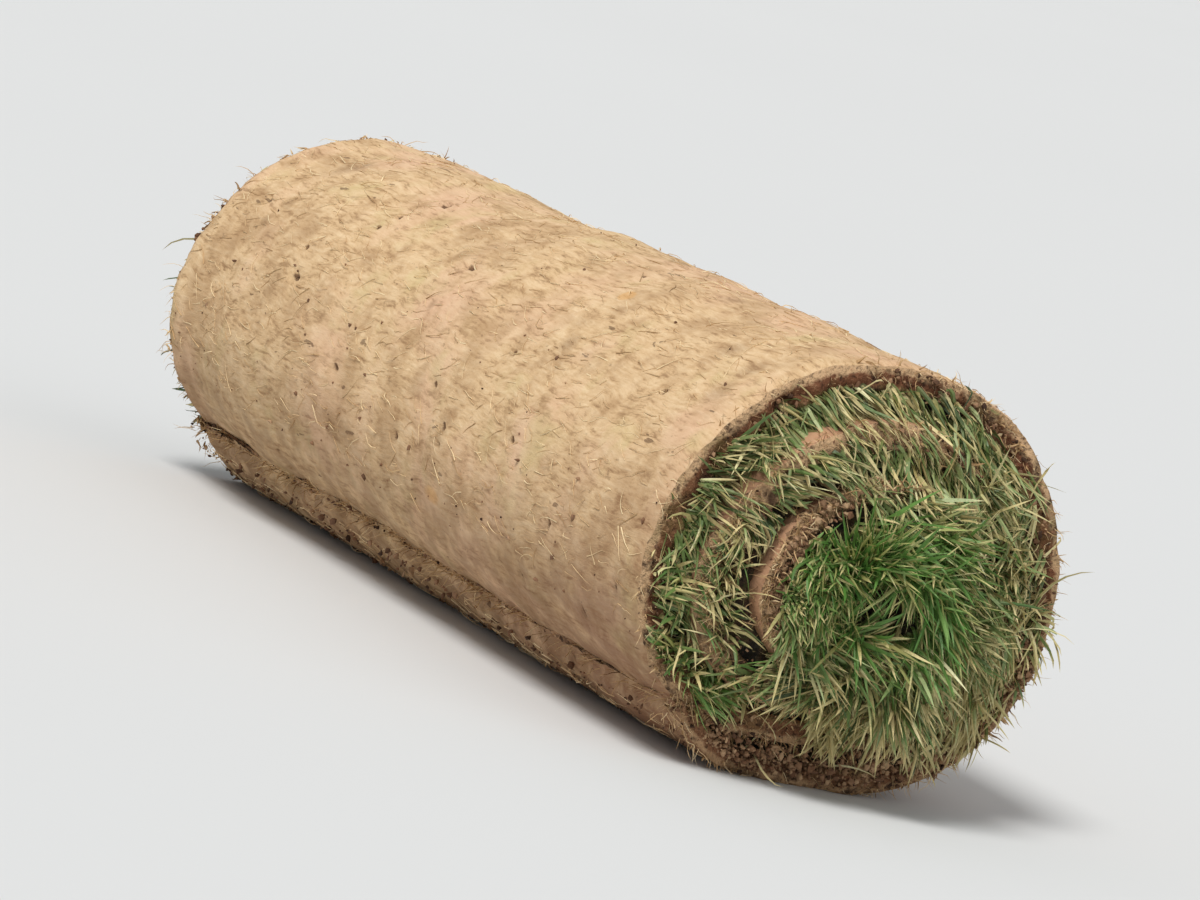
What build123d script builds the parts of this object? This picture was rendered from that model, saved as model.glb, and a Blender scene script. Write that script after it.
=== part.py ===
"""Roll of turf: one long mat of soil and roots, rolled up grass side in, lying on its slumped underside.

Millimetres, +Z up. The roll lies along X on Z = 0, with its near end at +X, where the turns have slid out.
The winding is drawn half a turn at a time: half circles over the top, flattened half rings underneath.
"""
import os

from build123d import *

# The cut mat
turf_width = 610.0          # cut edge to cut edge, along the roll
mat_thickness = 12.0        # soil, roots and thatch
pile_thickness = 12.5       # grass pressed between two turns
tail_wrap = 30.0            # degrees that the loose end wraps up past the flat underside
half_turns = 7              # counted inward from the loose end, for 1524 mm of mat in all

# The roll as it lies
roll_width = 216.0
roll_height = 200.0
eye_width = 26.0            # the loose channel along the middle of the grass core
eye_height = 8.0

# The ends
slide_step = 9.0            # how far each sliding half turn moves out at the near end
first_sliding = 2           # the half turns that slide, counted from 0 at the loose end
last_sliding = 4
pile_reach = 9.0            # grass standing out past the cut edges of the mat
core_bulge = 14.0           # how much further the grass core stands out at the near end
crown_radius = 80.0         # of the core's domed near end

# Worked out from the sizes above
pitch = mat_thickness + pile_thickness
first_width = roll_width + pitch
axis_height = roll_height - roll_width / 2
flat_share = 1 - 2 * axis_height / first_width
lower_middle = -pitch / 2
full_slide = slide_step * (last_sliding - first_sliding + 1)
near_rim = (turf_width - full_slide - core_bulge) / 2
far_rim = near_rim - turf_width


def outer_width(step):
    """Width over the outer face of a half turn."""
    return first_width - step * pitch


def flat_width(step):
    """Width of the flat under a lower half turn."""
    return outer_width(step) * flat_share


def corner_radius(step):
    """Radius of the two quarter rings beside that flat, on their outer face."""
    return (outer_width(step) - flat_width(step)) / 2


def slide_at(step):
    """How far the strip has slid out where this half turn starts."""
    sliding = min(max(step - first_sliding, 0), last_sliding - first_sliding + 1)
    return sliding * slide_step


def draw_half_turn(step, inset, wrap=90.0):
    """Draw a half turn's line, inset from its outer face, and return its start and end points."""
    if step % 2:
        arch = CenterArc((0, axis_height), outer_width(step) / 2 - inset, 0, 180)
        return arch @ 0, arch @ 1
    half_flat = flat_width(step) / 2
    radius = corner_radius(step) - inset
    left = CenterArc((lower_middle - half_flat, axis_height), radius, 270 - wrap, wrap)
    right = CenterArc((lower_middle + half_flat, axis_height), radius, 270, 90)
    Line(left @ 1, right @ 0)
    return left @ 0, right @ 1


def near_plane(step, reach):
    """Slanted plane at a half turn's near end, which follows the strip as it slides out."""
    from_slide = slide_at(step)
    to_slide = slide_at(step + 1)
    side = -1 if step % 2 else 1
    middle = 0 if step % 2 else lower_middle
    slope = side * (to_slide - from_slide) / outer_width(step)
    origin = (near_rim + reach + (from_slide + to_slide) / 2, middle, axis_height)
    return Plane(origin=origin, x_dir=(0, 0, 1), z_dir=(1, -slope, 0))


def wind(step, outer_line, inner_line, reach):
    """Make the band between two lines solid, reaching past both cut edges of the mat."""
    wrap = tail_wrap if step == 0 else 90.0
    with BuildPart() as band:
        with BuildSketch(Plane.YZ.offset(far_rim - reach)):
            with BuildLine():
                outer_start, outer_end = draw_half_turn(*outer_line, wrap)
                inner_start, inner_end = draw_half_turn(*inner_line, wrap)
                Line(outer_start, inner_start)
                Line(outer_end, inner_end)
            make_face()
        extrude(amount=turf_width + 2 * (full_slide + reach))
        split(bisect_by=near_plane(step, reach), keep=Keep.BOTTOM)
    return band.part


# Every band of mat, and of grass between it and the next turn
bands = []
for step in range(half_turns):
    bands.append(wind(step, (step, 0), (step, mat_thickness), 0))
    if step + 2 < half_turns:
        bands.append(wind(step, (step, mat_thickness), (step + 2, 0), pile_reach))

# The grass core that fills the innermost turn, with its near end turned to a dome
core_far = far_rim - pile_reach
core_near = near_rim + full_slide + pile_reach + core_bulge
crown_middle = core_near - crown_radius
crown_top = axis_height + crown_radius
last = half_turns - 1
with BuildPart() as core:
    with BuildSketch(Plane.YZ.offset(core_far)):
        with BuildLine():
            core_start, join = draw_half_turn(last - 1, mat_thickness)
            join, core_end = draw_half_turn(last, mat_thickness)
            Line(core_end, core_start)
        make_face()
    extrude(amount=core_near - core_far)
    with BuildSketch(Plane.XZ):
        with BuildLine():
            CenterArc((crown_middle, axis_height), crown_radius, 0, 90)
            Polyline(
                (crown_middle, crown_top),
                (core_far, crown_top),
                (core_far, axis_height),
                (core_near, axis_height),
            )
        make_face()
    revolve(axis=Axis((0, 0, axis_height), (1, 0, 0)), mode=Mode.INTERSECT)

with BuildPart() as turf_roll:
    add(bands)
    add(core.part)
    with BuildSketch(Plane.YZ.offset(core_far)):
        with Locations((0, axis_height)):
            SlotOverall(eye_width, eye_height)
    extrude(amount=core_near - core_far, mode=Mode.SUBTRACT)

turf_roll.part.label = "turf_roll"
os.makedirs("parts", exist_ok=True)
export_step(turf_roll.part, "parts/turf_roll.step")
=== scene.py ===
"""Roll of turf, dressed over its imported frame: wound root mat, pressed thatch, grass, roots and crumbs.

Everything is in metres in the frame's own axes: +X along the roll to the end where the turns have slid
out, +Z up, with the roll lying on Z = 0. The strip is described by how far along it a point lies, counted
from the loose end, and how deep it lies under the outer face.
"""

import logging
import math
from collections.abc import Callable
from dataclasses import dataclass, field
from enum import Enum, IntEnum
from functools import cache
from itertools import combinations

import bpy
import numpy as np
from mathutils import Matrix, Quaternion, Vector


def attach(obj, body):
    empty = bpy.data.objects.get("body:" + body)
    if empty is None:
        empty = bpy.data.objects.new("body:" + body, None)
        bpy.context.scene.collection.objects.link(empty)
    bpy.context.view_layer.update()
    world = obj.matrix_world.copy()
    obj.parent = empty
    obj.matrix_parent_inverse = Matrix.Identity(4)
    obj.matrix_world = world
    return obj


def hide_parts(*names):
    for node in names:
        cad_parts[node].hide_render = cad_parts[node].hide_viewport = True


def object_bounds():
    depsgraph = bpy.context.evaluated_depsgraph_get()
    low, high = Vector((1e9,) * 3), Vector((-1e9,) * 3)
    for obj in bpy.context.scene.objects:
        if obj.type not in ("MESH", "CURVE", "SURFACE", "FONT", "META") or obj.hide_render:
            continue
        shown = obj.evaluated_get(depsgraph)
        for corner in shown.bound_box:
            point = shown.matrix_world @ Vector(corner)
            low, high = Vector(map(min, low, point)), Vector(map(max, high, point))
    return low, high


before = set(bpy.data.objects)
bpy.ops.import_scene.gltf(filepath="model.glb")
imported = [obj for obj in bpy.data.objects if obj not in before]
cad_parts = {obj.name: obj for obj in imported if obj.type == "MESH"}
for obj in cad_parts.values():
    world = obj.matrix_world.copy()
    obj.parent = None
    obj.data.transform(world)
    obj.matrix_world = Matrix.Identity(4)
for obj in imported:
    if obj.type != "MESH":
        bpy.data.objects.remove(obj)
CAD_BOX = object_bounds()

log = logging.getLogger("turf")
BODY = "root"
NODE = "turf_roll"

Array = np.ndarray
Colour = tuple[float, float, float]
Group = bpy.types.NodeTree
Material = bpy.types.Material
Pair = tuple[Array, Array]
Rng = np.random.Generator
Socket = bpy.types.NodeSocket
Span = tuple[float, float]


class End(Enum):
    """The two ends of the roll, by the direction in which they face along X."""

    NEAR = 1
    FAR = -1


class HalfTurn(IntEnum):
    """The strip's half turns from the loose end inward, by turns under the roll and over it."""

    OUTER_UNDER = 0
    OUTER_OVER = 1
    SECOND_UNDER = 2
    SECOND_OVER = 3
    THIRD_UNDER = 4
    THIRD_OVER = 5
    CORE_UNDER = 6


class ValueNoise:
    """Smooth lattice noise in three dimensions, the same on each run."""

    TABLE = 4096
    HASH = (73856093, 19349663, 83492791)

    def __init__(self, seed: int) -> None:
        """Fill the lattice with values that the seed fixes."""
        self.values = np.random.default_rng(seed).uniform(-1.0, 1.0, self.TABLE)

    def _corner(self, cell: Array) -> Array:
        """Lattice value at whole-number corners of shape (n, 3)."""
        mixed = cell[:, 0] * self.HASH[0] ^ cell[:, 1] * self.HASH[1] ^ cell[:, 2] * self.HASH[2]
        return self.values[mixed & (self.TABLE - 1)]

    def at(self, points: Array, wavelength: float, octaves: int = 1) -> Array:
        """Evaluate the noise.

        Args:
            points: positions, of shape (n, 3).
            wavelength: size of the largest lumps.
            octaves: how many layers, each half as large and as strong as the one before.

        Returns:
            One value from about -1 to 1 for each point.
        """
        total = np.zeros(len(points))
        strength = 1.0
        for _ in range(octaves):
            scaled = points / wavelength
            cell = np.floor(scaled).astype(np.int64)
            part = scaled - cell
            part = part * part * (3 - 2 * part)
            for corner in range(8):
                step = np.array([corner & 1, corner >> 1 & 1, corner >> 2 & 1])
                share = np.prod(np.where(step == 1, part, 1 - part), axis=1)
                total += strength * share * self._corner(cell + step)
            strength *= 0.5
            wavelength *= 0.5
        return total


def unit(vectors: Array) -> Array:
    """Scale vectors, along the last axis, to length 1."""
    length = np.linalg.norm(vectors, axis=-1, keepdims=True)
    return vectors / np.maximum(length, 1e-9)


def smoothstep(values: Array, low: float, high: float) -> Array:
    """Rise smoothly from 0 at low to 1 at high."""
    share = np.clip((values - low) / (high - low), 0.0, 1.0)
    return share * share * (3 - 2 * share)


def bell(values: Array, middle: float, spread: float) -> Array:
    """Fall off from 1 at the middle to about a third at the spread."""
    return np.exp(-(((values - middle) / spread) ** 2))


def any_way(rng: Rng, count: int) -> Array:
    """Draw directions that point anywhere, of shape (count, 3)."""
    return unit(rng.normal(0, 1, (count, 3)))


def on_cut(along: Array, depth: Array, end: End) -> Array:
    """Points of an end's cut face for its noise, by distance along the strip and depth."""
    return np.stack([along, depth, np.full_like(along, end.value)], axis=-1)


def per_vertex(values: dict[str, Array], vertices: Array) -> dict[str, Array]:
    """Repeat named values of blades for all of the vertices that each blade has."""
    return {name: np.repeat(each, len(vertices) // len(each)) for name, each in values.items()}


@dataclass
class PieceMesh:
    """A closed mesh as arrays, ready to be made into a piece."""

    vertices: Array
    triangles: Array
    quads: Array = field(default_factory=lambda: np.empty((0, 4), int))
    values: dict[str, Array] = field(default_factory=dict)
    quad_slots: Array | int = 0
    triangle_slot: int = 0

    def make(
        self, name: str, materials: list[Material], smooth: bool = False, stands_for_node: bool = False
    ) -> None:
        """Make the piece, which rides with the roll.

        Args:
            name: name of the piece.
            materials: its materials, in slot order.
            smooth: whether its faces are shaded smooth.
            stands_for_node: whether it takes the place of the plain solid.
        """
        mesh = bpy.data.meshes.new(name)
        mesh.vertices.add(len(self.vertices))
        mesh.vertices.foreach_set("co", self.vertices.astype(np.float32).ravel())
        corners = np.concatenate([self.quads.ravel(), self.triangles.ravel()])
        mesh.loops.add(len(corners))
        mesh.loops.foreach_set("vertex_index", corners.astype(np.int32))
        counts = np.array([len(self.quads), len(self.triangles)])
        sizes = np.repeat([4, 3], counts)
        mesh.polygons.add(len(sizes))
        mesh.polygons.foreach_set("loop_start", (np.cumsum(sizes) - sizes).astype(np.int32))
        for material in materials:
            mesh.materials.append(material)
        slots = [np.broadcast_to(self.quad_slots, counts[0]), np.full(counts[1], self.triangle_slot)]
        mesh.polygons.foreach_set("material_index", np.concatenate(slots).astype(np.int32))
        mesh.polygons.foreach_set("use_smooth", np.full(len(sizes), smooth))
        for label, numbers in self.values.items():
            layer = mesh.attributes.new(label, "FLOAT", "POINT")
            layer.data.foreach_set("value", numbers.astype(np.float32))
        mesh.update(calc_edges=True)
        mesh.validate()
        piece = bpy.data.objects.new(name, mesh)
        bpy.context.scene.collection.objects.link(piece)
        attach(piece, BODY)
        if stands_for_node:
            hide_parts(NODE)
        log.info("%s: %d triangles", name, counts @ [2, 1])


@dataclass(frozen=True)
class TurfSize:
    """Sizes of the roll, in metres. The overall ones are read from the frame."""

    low: Vector
    high: Vector
    mat: float = 0.012
    pile: float = 0.0125
    tail_wrap: float = math.radians(30)
    tail_tuck: float = 0.0115
    tail_length: float = 0.06
    half_turns: int = 7
    slide_step: float = 0.009
    first_sliding: int = 2
    last_sliding: int = 4
    far_share: float = 0.35
    pile_reach: float = 0.009
    core_bulge: float = 0.014
    core_radius: float = 0.047
    dome_radius: float = 0.055

    @property
    def pitch(self) -> float:
        """Distance from one turn to the next."""
        return self.mat + self.pile

    @property
    def width(self) -> float:
        """Width of the roll."""
        return self.high.y - self.low.y

    @property
    def axis_height(self) -> float:
        """Height of the winding's axis."""
        return self.high.z - self.width / 2

    @property
    def full_slide(self) -> float:
        """How far the inner turns have slid out at the near end."""
        return self.slide_step * (self.last_sliding - self.first_sliding + 1)

    @property
    def near_rim(self) -> float:
        """Where the outer turn's near cut edge lies along X."""
        return self.high.x - self.full_slide - self.pile_reach - self.core_bulge

    @property
    def far_rim(self) -> float:
        """Where the far cut edge lies along X."""
        return self.low.x + self.pile_reach

    def rim(self, end: End) -> float:
        """Where the outer turn's cut edge lies along X at one end."""
        return self.near_rim if end is End.NEAR else self.far_rim


class Winding:
    """The strip's route round the axis, half a turn at a time, as a table that is looked up.

    Its starts are the distances along the strip at which the half turns begin.
    """

    SAMPLES = 160
    STEP = 0.001

    def __init__(self, size: TurfSize) -> None:
        """Trace the strip's outer face.

        Args:
            size: sizes of the roll.
        """
        self.size = size
        self.axis = np.array([0.0, size.axis_height])
        points, inward, slides = [], [], []
        for step in range(size.half_turns):
            face, normal = self._half_turn(step)
            start = self.sliding(step) * size.slide_step
            end = self.sliding(step + 1) * size.slide_step
            across = np.abs(face[:, 0] - face[0, 0]) / np.abs(face[-1, 0] - face[0, 0])
            points.append(face[:-1])
            inward.append(normal[:-1])
            slides.append(start + (end - start) * across[:-1])
        self.points = np.concatenate(points)
        self.inward = np.concatenate(inward)
        self.slides = np.concatenate(slides)
        middle = self.points + self.inward * size.mat / 2
        steps = np.linalg.norm(np.diff(middle, axis=0), axis=1)
        self.along = np.concatenate([[0.0], np.cumsum(steps)])
        self.length = float(self.along[-1])
        self.starts = self.along[np.cumsum([0] + [len(part) for part in points[:-1]])]

    def sliding(self, step: int) -> int:
        """How many of the half turns before this one slide."""
        size = self.size
        return min(max(step - size.first_sliding, 0), size.last_sliding - size.first_sliding + 1)

    def _half_turn(self, step: int) -> Pair:
        """Trace a half turn's outer face in Y and Z.

        Args:
            step: the half turn, counted from the loose end.

        Returns:
            Its points and their inward normals, each of shape (n, 2).
        """
        size = self.size
        first = size.width + size.pitch
        outer = first - step * size.pitch
        if step % 2:
            return self._arc(0.0, outer / 2, np.linspace(0.0, math.pi, self.SAMPLES))
        half_flat = outer * (1 - 2 * size.axis_height / first) / 2
        radius = outer / 2 - half_flat
        middle = -size.pitch / 2
        wrap = size.tail_wrap if step == HalfTurn.OUTER_UNDER else math.pi / 2
        down = 1.5 * math.pi
        left_angles = np.linspace(down - wrap, down, self.SAMPLES)
        left, left_in = self._arc(middle - half_flat, radius, left_angles)
        right_angles = np.linspace(down, 2 * math.pi, self.SAMPLES)
        right, right_in = self._arc(middle + half_flat, radius, right_angles)
        share = np.linspace(0, 1, self.SAMPLES // 4)[1:-1, None]
        flat = left[-1] + (right[0] - left[-1]) * share
        flat_in = np.tile([0.0, 1.0], (len(flat), 1))
        return np.concatenate([left, flat, right]), np.concatenate([left_in, flat_in, right_in])

    def _arc(self, middle: float, radius: float, angles: Array) -> Pair:
        """Points of an arc about a middle at the axis height, and their inward normals."""
        out = np.stack([np.cos(angles), np.sin(angles)], axis=1)
        return np.array([middle, self.size.axis_height]) + out * radius, -out

    def _look_up(self, along: Array, table: Array) -> Array:
        """Read a table of Y and Z at distances along the strip."""
        return np.stack([np.interp(along, self.along, table[:, i]) for i in range(2)], axis=-1)

    def normal(self, along: Array) -> Array:
        """Inward normals, in Y and Z, at distances along the strip."""
        return unit(self._look_up(along, self.inward))

    def place(self, along: Array, depth: Array) -> Array:
        """Find points on the strip, whose tail is pressed close to the roll.

        Args:
            along: distances from the loose end.
            depth: depths under the outer face.

        Returns:
            The places, with Y and Z along the last axis.
        """
        size = self.size
        tuck = size.tail_tuck * (1 - smoothstep(along, 0.0, size.tail_length))
        pressed = tuck * (1 - np.clip((depth - size.mat) / size.pile, 0, 1))
        return self._look_up(along, self.points) + self.normal(along) * (depth + pressed)[..., None]

    def polar(self, places: Array) -> Pair:
        """Angles of places round the axis, from 0 to a full turn, and their distances from it."""
        away = places[:, 1:] - self.axis
        return np.arctan2(away[:, 1], away[:, 0]) % (2 * math.pi), np.linalg.norm(away, axis=1)

    def at(self, x: Array, along: Array, depth: Array) -> Array:
        """Points on the strip, of shape (n, 3), by their place along X, distance and depth."""
        return np.column_stack([x, self.place(along, depth)])

    def forward(self, along: Array) -> Array:
        """Directions in Y and Z in which the strip runs on, at distances along it."""
        here = np.clip(along, 0.0, self.length - self.STEP)
        return unit(self._look_up(here + self.STEP, self.points) - self._look_up(here, self.points))

    def cut_edge(self, along: Array, end: End) -> Array:
        """Where the plain cut edge lies along X. The far end's turns are nearly flush."""
        share = 1.0 if end is End.NEAR else self.size.far_share
        return self.size.rim(end) + share * np.interp(along, self.along, self.slides)

    def cut_edges(self, along: Array) -> Pair:
        """Where the near and the far cut edge lie along X at distances along the strip."""
        return self.cut_edge(along, End.NEAR), self.cut_edge(along, End.FAR)


@dataclass
class RootSurface:
    """The shape of the wound root face: sags, lumps, ridges of felted roots and small gouges."""

    winding: Winding
    sag: float = 0.0026
    sag_length: float = 0.19
    lump: float = 0.0017
    lump_length: float = 0.055
    ridge: float = 0.0005
    ridge_length: float = 0.0075
    ridge_drawn: float = 0.35
    worn_rim: float = 0.0016
    worn_width: float = 0.008
    pressed_height: float = 0.012
    gouges: int = 16
    gouge_depth: float = 0.0026
    gouge_margin: float = 0.03
    gouge_radius: float = 0.0018
    gouge_growth: float = 0.0026
    gouge_drawn: float = 0.6
    gouge_ragged: float = 0.8
    gouge_grain: float = 0.005
    loose_wander: float = 0.008
    loose_length: float = 0.11
    seed: int = 11

    def __post_init__(self) -> None:
        """Draw the gouges."""
        self.noise = ValueNoise(self.seed)
        rng = np.random.default_rng(self.seed)
        size = self.winding.size
        edge = self.gouge_margin
        self.spots = np.column_stack([
            rng.uniform(edge, self.winding.starts[HalfTurn.SECOND_UNDER], self.gouges),
            rng.uniform(size.far_rim + edge, size.near_rim - edge, self.gouges),
            self.gouge_radius + self.gouge_growth * rng.random(self.gouges) ** 2,
        ])

    def gouged(self, along: Array, x: Array) -> Array:
        """Find how far places on the face lie inside a gouge.

        Args:
            along: distances from the loose end.
            x: places along X.

        Returns:
            A value for each place, from 0 outside to 1 in a gouge's middle.
        """
        places = np.column_stack([along, x, np.zeros_like(x)])
        torn = 1 + self.gouge_ragged * self.noise.at(places, self.gouge_grain, 2)
        depth = np.zeros_like(x)
        for spot_along, spot_x, radius in self.spots:
            away = np.hypot(along - spot_along, (x - spot_x) * self.gouge_drawn) / radius
            depth = np.maximum(depth, 1 - smoothstep(away * torn, 0.45, 1.25))
        return depth

    def lift(self, along: Array, x: Array) -> Array:
        """Find how far the face stands out of the plain winding.

        Args:
            along: distances from the loose end.
            x: places along X.

        Returns:
            A height for each place, which is 0 where the roll is pressed on the floor.
        """
        places = np.column_stack([along, x, np.zeros_like(x)])
        drawn = places * np.array([1.0, self.ridge_drawn, 1.0])
        bulges = self.noise.at(places, self.sag_length, 2) * self.sag
        bulges += self.noise.at(places, self.lump_length, 2) * self.lump
        ridges = self.noise.at(drawn, self.ridge_length, 2) * self.ridge
        near, far = self.winding.cut_edges(along)
        worn = self.worn_rim * (1 - smoothstep(np.minimum(near - x, x - far), 0.0, self.worn_width))
        height = bulges + ridges - worn - self.gouge_depth * self.gouged(along, x)
        above_floor = self.winding.place(along, np.zeros_like(along))[:, 1]
        return height * smoothstep(above_floor, 0.0, self.pressed_height)

    def loose_edge(self, x: Array) -> Array:
        """How far along the strip its torn loose end lies, at places across it."""
        places = np.column_stack([x, np.zeros_like(x), np.zeros_like(x)])
        return self.loose_wander * (0.5 + 0.5 * np.clip(self.noise.at(places, self.loose_length, 4), -1, 1))

    def place(self, along: Array, x: Array, height: Array | float) -> Array:
        """Points over the face, by their distance along the strip, place along X and height."""
        inside = np.clip(along, 0.0, self.winding.length)
        return self.winding.at(x, inside, -self.lift(inside, x) - height)


@dataclass
class OnSurface:
    """Anything that is laid out over the wound root surface.

    What lies loose on it is a hair's breadth above it, and reaches on a little way under the roll.
    """

    surface: RootSurface
    hair: float = 0.0002
    under_roll: float = 0.03

    @property
    def winding(self) -> Winding:
        """The route that the strip takes."""
        return self.surface.winding

    @property
    def strewn_length(self) -> float:
        """How far along the strip its face has loose things on it."""
        return self.winding.starts[HalfTurn.SECOND_UNDER] + self.under_roll

    def across(self, rng: Rng, count: int, inside: float = 0.0) -> Array:
        """Draw places across the strip, at least so far inside its rims."""
        size = self.winding.size
        return rng.uniform(size.far_rim + inside, size.near_rim - inside, count)


def srgb(red: int, green: int, blue: int) -> Colour:
    """Turn a colour as written, from 0 to 255, into the shader's linear values."""
    parts = [c / 255 for c in (red, green, blue)]
    return tuple(c / 12.92 if c <= 0.04045 else ((c + 0.055) / 1.055) ** 2.4 for c in parts)


class NodeTools:
    """Short ways of adding and linking shader nodes in one tree."""

    NOISE_LOW = 0.3
    NOISE_HIGH = 0.7

    def __init__(self, tree: Group) -> None:
        """Work in a material's node tree or in a node group."""
        self.tree = tree

    def add(self, kind: str, settings: dict[str, object] | None = None, **inputs: object) -> bpy.types.Node:
        """Add a node.

        Args:
            kind: the node's type name, without its ShaderNode prefix.
            settings: properties of the node.
            inputs: values or sockets for its inputs.

        Returns:
            The node.
        """
        node = self.tree.nodes.new("ShaderNode" + kind)
        for name, value in (settings or {}).items():
            setattr(node, name, value)
        for name, value in inputs.items():
            self.feed(node.inputs[name], value)
        return node

    def feed(self, socket: Socket, value: object) -> None:
        """Link a socket to an output, or set its value.

        Args:
            socket: the input to feed.
            value: an output socket, a number, a vector or a colour.
        """
        if isinstance(value, Socket):
            self.tree.links.new(value, socket)
        elif socket.type == "RGBA":
            socket.default_value = (*value, 1.0)
        else:
            socket.default_value = value

    def result(self, node: bpy.types.Node, *values: object) -> Socket:
        """Feed the inputs that a node has in use, in order.

        Args:
            node: the node.
            values: values or sockets for its inputs.

        Returns:
            The output that it has in use.
        """
        for socket, value in zip([s for s in node.inputs if s.enabled], values):
            self.feed(socket, value)
        return next(s for s in node.outputs if s.enabled)

    def math(self, operation: str, first: object, second: object, clamp: bool = False) -> Socket:
        """Add a Math node on two values or sockets, and return its output."""
        return self.result(self.add("Math", {"operation": operation, "use_clamp": clamp}), first, second)

    def vector(self, operation: str, first: object, second: object) -> Socket:
        """Add a Vector Math node on two vectors or sockets, and return its output."""
        return self.result(self.add("VectorMath", {"operation": operation}), first, second)

    def mix(self, factor: object, first: object, second: object) -> Socket:
        """Mix two colours, where the factor says how much of the second one shows."""
        return self.result(self.add("Mix", {"data_type": "RGBA"}), factor, first, second)

    def remap(
        self, value: Socket, low: float, high: float, to_low: float = 0.0, to_high: float = 1.0
    ) -> Socket:
        """Stretch a value from one range to another, either of which may run down, and clamp it."""
        return self.result(self.add("MapRange"), value, low, high, to_low, to_high)

    def spread(self, noise: Socket, to_low: float, to_high: float) -> Socket:
        """Stretch a noise from where most of its values lie to another range."""
        return self.remap(noise, self.NOISE_LOW, self.NOISE_HIGH, to_low, to_high)

    def noise(self, place: Socket, scale: object, detail: float = 3.0, roughness: float = 0.6) -> Socket:
        """Add a noise texture and return its value."""
        return self.add("TexNoise", Vector=place, Scale=scale, Detail=detail, Roughness=roughness).outputs[0]

    def ramp(self, factor: Socket, stops: list[tuple[float, Colour]]) -> Socket:
        """Add a colour ramp.

        Args:
            factor: what drives it.
            stops: pairs of place and colour.

        Returns:
            Its colour output.
        """
        node = self.add("ValToRGB", Fac=factor)
        elements = node.color_ramp.elements
        while len(elements) < len(stops):
            elements.new(0.5)
        for element, (place, colour) in zip(elements, stops):
            element.position = place
            element.color = (*colour, 1.0)
        return node.outputs["Color"]


class GroupTools(NodeTools):
    """Node tools for a new group that takes places, and gives out values that change over a surface."""

    def __init__(self, name: str, inputs: dict[str, float], outputs: tuple[str, ...]) -> None:
        """Make the group.

        Args:
            name: its name.
            inputs: names and usual values of its inputs besides Place.
            outputs: names of its outputs.
        """
        super().__init__(bpy.data.node_groups.new(name, "ShaderNodeTree"))
        self.tree.interface.new_socket("Place", in_out="INPUT", socket_type="NodeSocketVector")
        for label, usual in inputs.items():
            socket = self.tree.interface.new_socket(label, in_out="INPUT", socket_type="NodeSocketFloat")
            socket.default_value = usual
        for label in outputs:
            self.tree.interface.new_socket(label, in_out="OUTPUT", socket_type="NodeSocketFloat")
        self.enter = self.tree.nodes.new("NodeGroupInput").outputs
        self.leave = self.tree.nodes.new("NodeGroupOutput").inputs

    def drawn_out(self, place: Socket) -> Socket:
        """Draw a pattern out along X by the group's Stretch."""
        stretch = self.add("CombineXYZ", X=self.enter["Stretch"], Y=1.0, Z=1.0).outputs[0]
        return self.vector("MULTIPLY", place, stretch)


@cache
def felted_fibres() -> Group:
    """Felted fibres that run along X, as a height and a mask of dark gaps.

    Returns:
        The group, with Place, Scale, Stretch and Waviness in, and Height and Gaps out.
    """
    usual = {"Scale": 200.0, "Stretch": 0.2, "Waviness": 0.01}
    tools = GroupTools("felted_fibres", usual, ("Height", "Gaps"))
    bend = tools.add("TexNoise", Vector=tools.enter["Place"], Scale=45.0, Detail=2.0).outputs["Color"]
    centred = tools.vector("SUBTRACT", bend, (0.5, 0.5, 0.5))
    shift = tools.vector("SCALE", centred, tools.enter["Waviness"])
    drawn = tools.drawn_out(tools.vector("ADD", tools.enter["Place"], shift))
    fine = tools.noise(drawn, tools.enter["Scale"], 5.0, 0.65)
    broad = tools.noise(drawn, tools.math("MULTIPLY", tools.enter["Scale"], 0.33))
    both = tools.math("ADD", tools.math("MULTIPLY", fine, 0.68), tools.math("MULTIPLY", broad, 0.32))
    tools.feed(tools.leave["Height"], both)
    tools.feed(tools.leave["Gaps"], tools.remap(both, 0.46, 0.36))
    return tools.tree


@cache
def soil_dust() -> Group:
    """Patchy mask low down, near the floor, for rubbed-on soil; where it darkens the root face, it is partly
    painted shade.

    Returns:
        The group, with Place, Top and Scale in, and Mask out.
    """
    tools = GroupTools("soil_dust", {"Top": 0.07, "Scale": 70.0}, ("Mask",))
    height = tools.add("SeparateXYZ", Vector=tools.enter["Place"]).outputs["Z"]
    low = tools.math("SUBTRACT", 1.0, tools.math("DIVIDE", height, tools.enter["Top"]), clamp=True)
    patches = tools.noise(tools.enter["Place"], tools.enter["Scale"], 5.0, 0.65)
    tools.feed(tools.leave["Mask"], tools.math("MULTIPLY", low, tools.remap(patches, 0.28, 0.58)))
    return tools.tree


@cache
def scattered_specks() -> Group:
    """Scattered specks, as a mask.

    Returns:
        The group, with Place, Scale, Stretch, Size, Share and Core in, and Mask out. Share is the share
        of cells that hold a speck, and Core the share of a speck's radius that is fully covered.
    """
    usual = {"Scale": 60.0, "Stretch": 0.4, "Size": 0.2, "Share": 0.3, "Core": 0.75}
    tools = GroupTools("scattered_specks", usual, ("Mask",))
    drawn = tools.drawn_out(tools.enter["Place"])
    rough = tools.add("TexNoise", Vector=drawn, Scale=tools.enter["Scale"], Detail=3.0).outputs["Color"]
    moved = tools.vector("ADD", drawn, tools.vector("SCALE", rough, 0.012))
    cells = tools.add("TexVoronoi", Vector=moved, Scale=tools.enter["Scale"]).outputs
    drawn_lots = tools.add("SeparateColor", Color=cells["Color"]).outputs
    chosen = tools.math("LESS_THAN", drawn_lots["Red"], tools.enter["Share"])
    size = tools.math("MULTIPLY", tools.enter["Size"], tools.math("ADD", drawn_lots["Green"], 0.4))
    soft = tools.remap(tools.math("DIVIDE", cells["Distance"], size), 1.0, tools.enter["Core"])
    tools.feed(tools.leave["Mask"], tools.math("MULTIPLY", soft, chosen))
    return tools.tree


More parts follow.
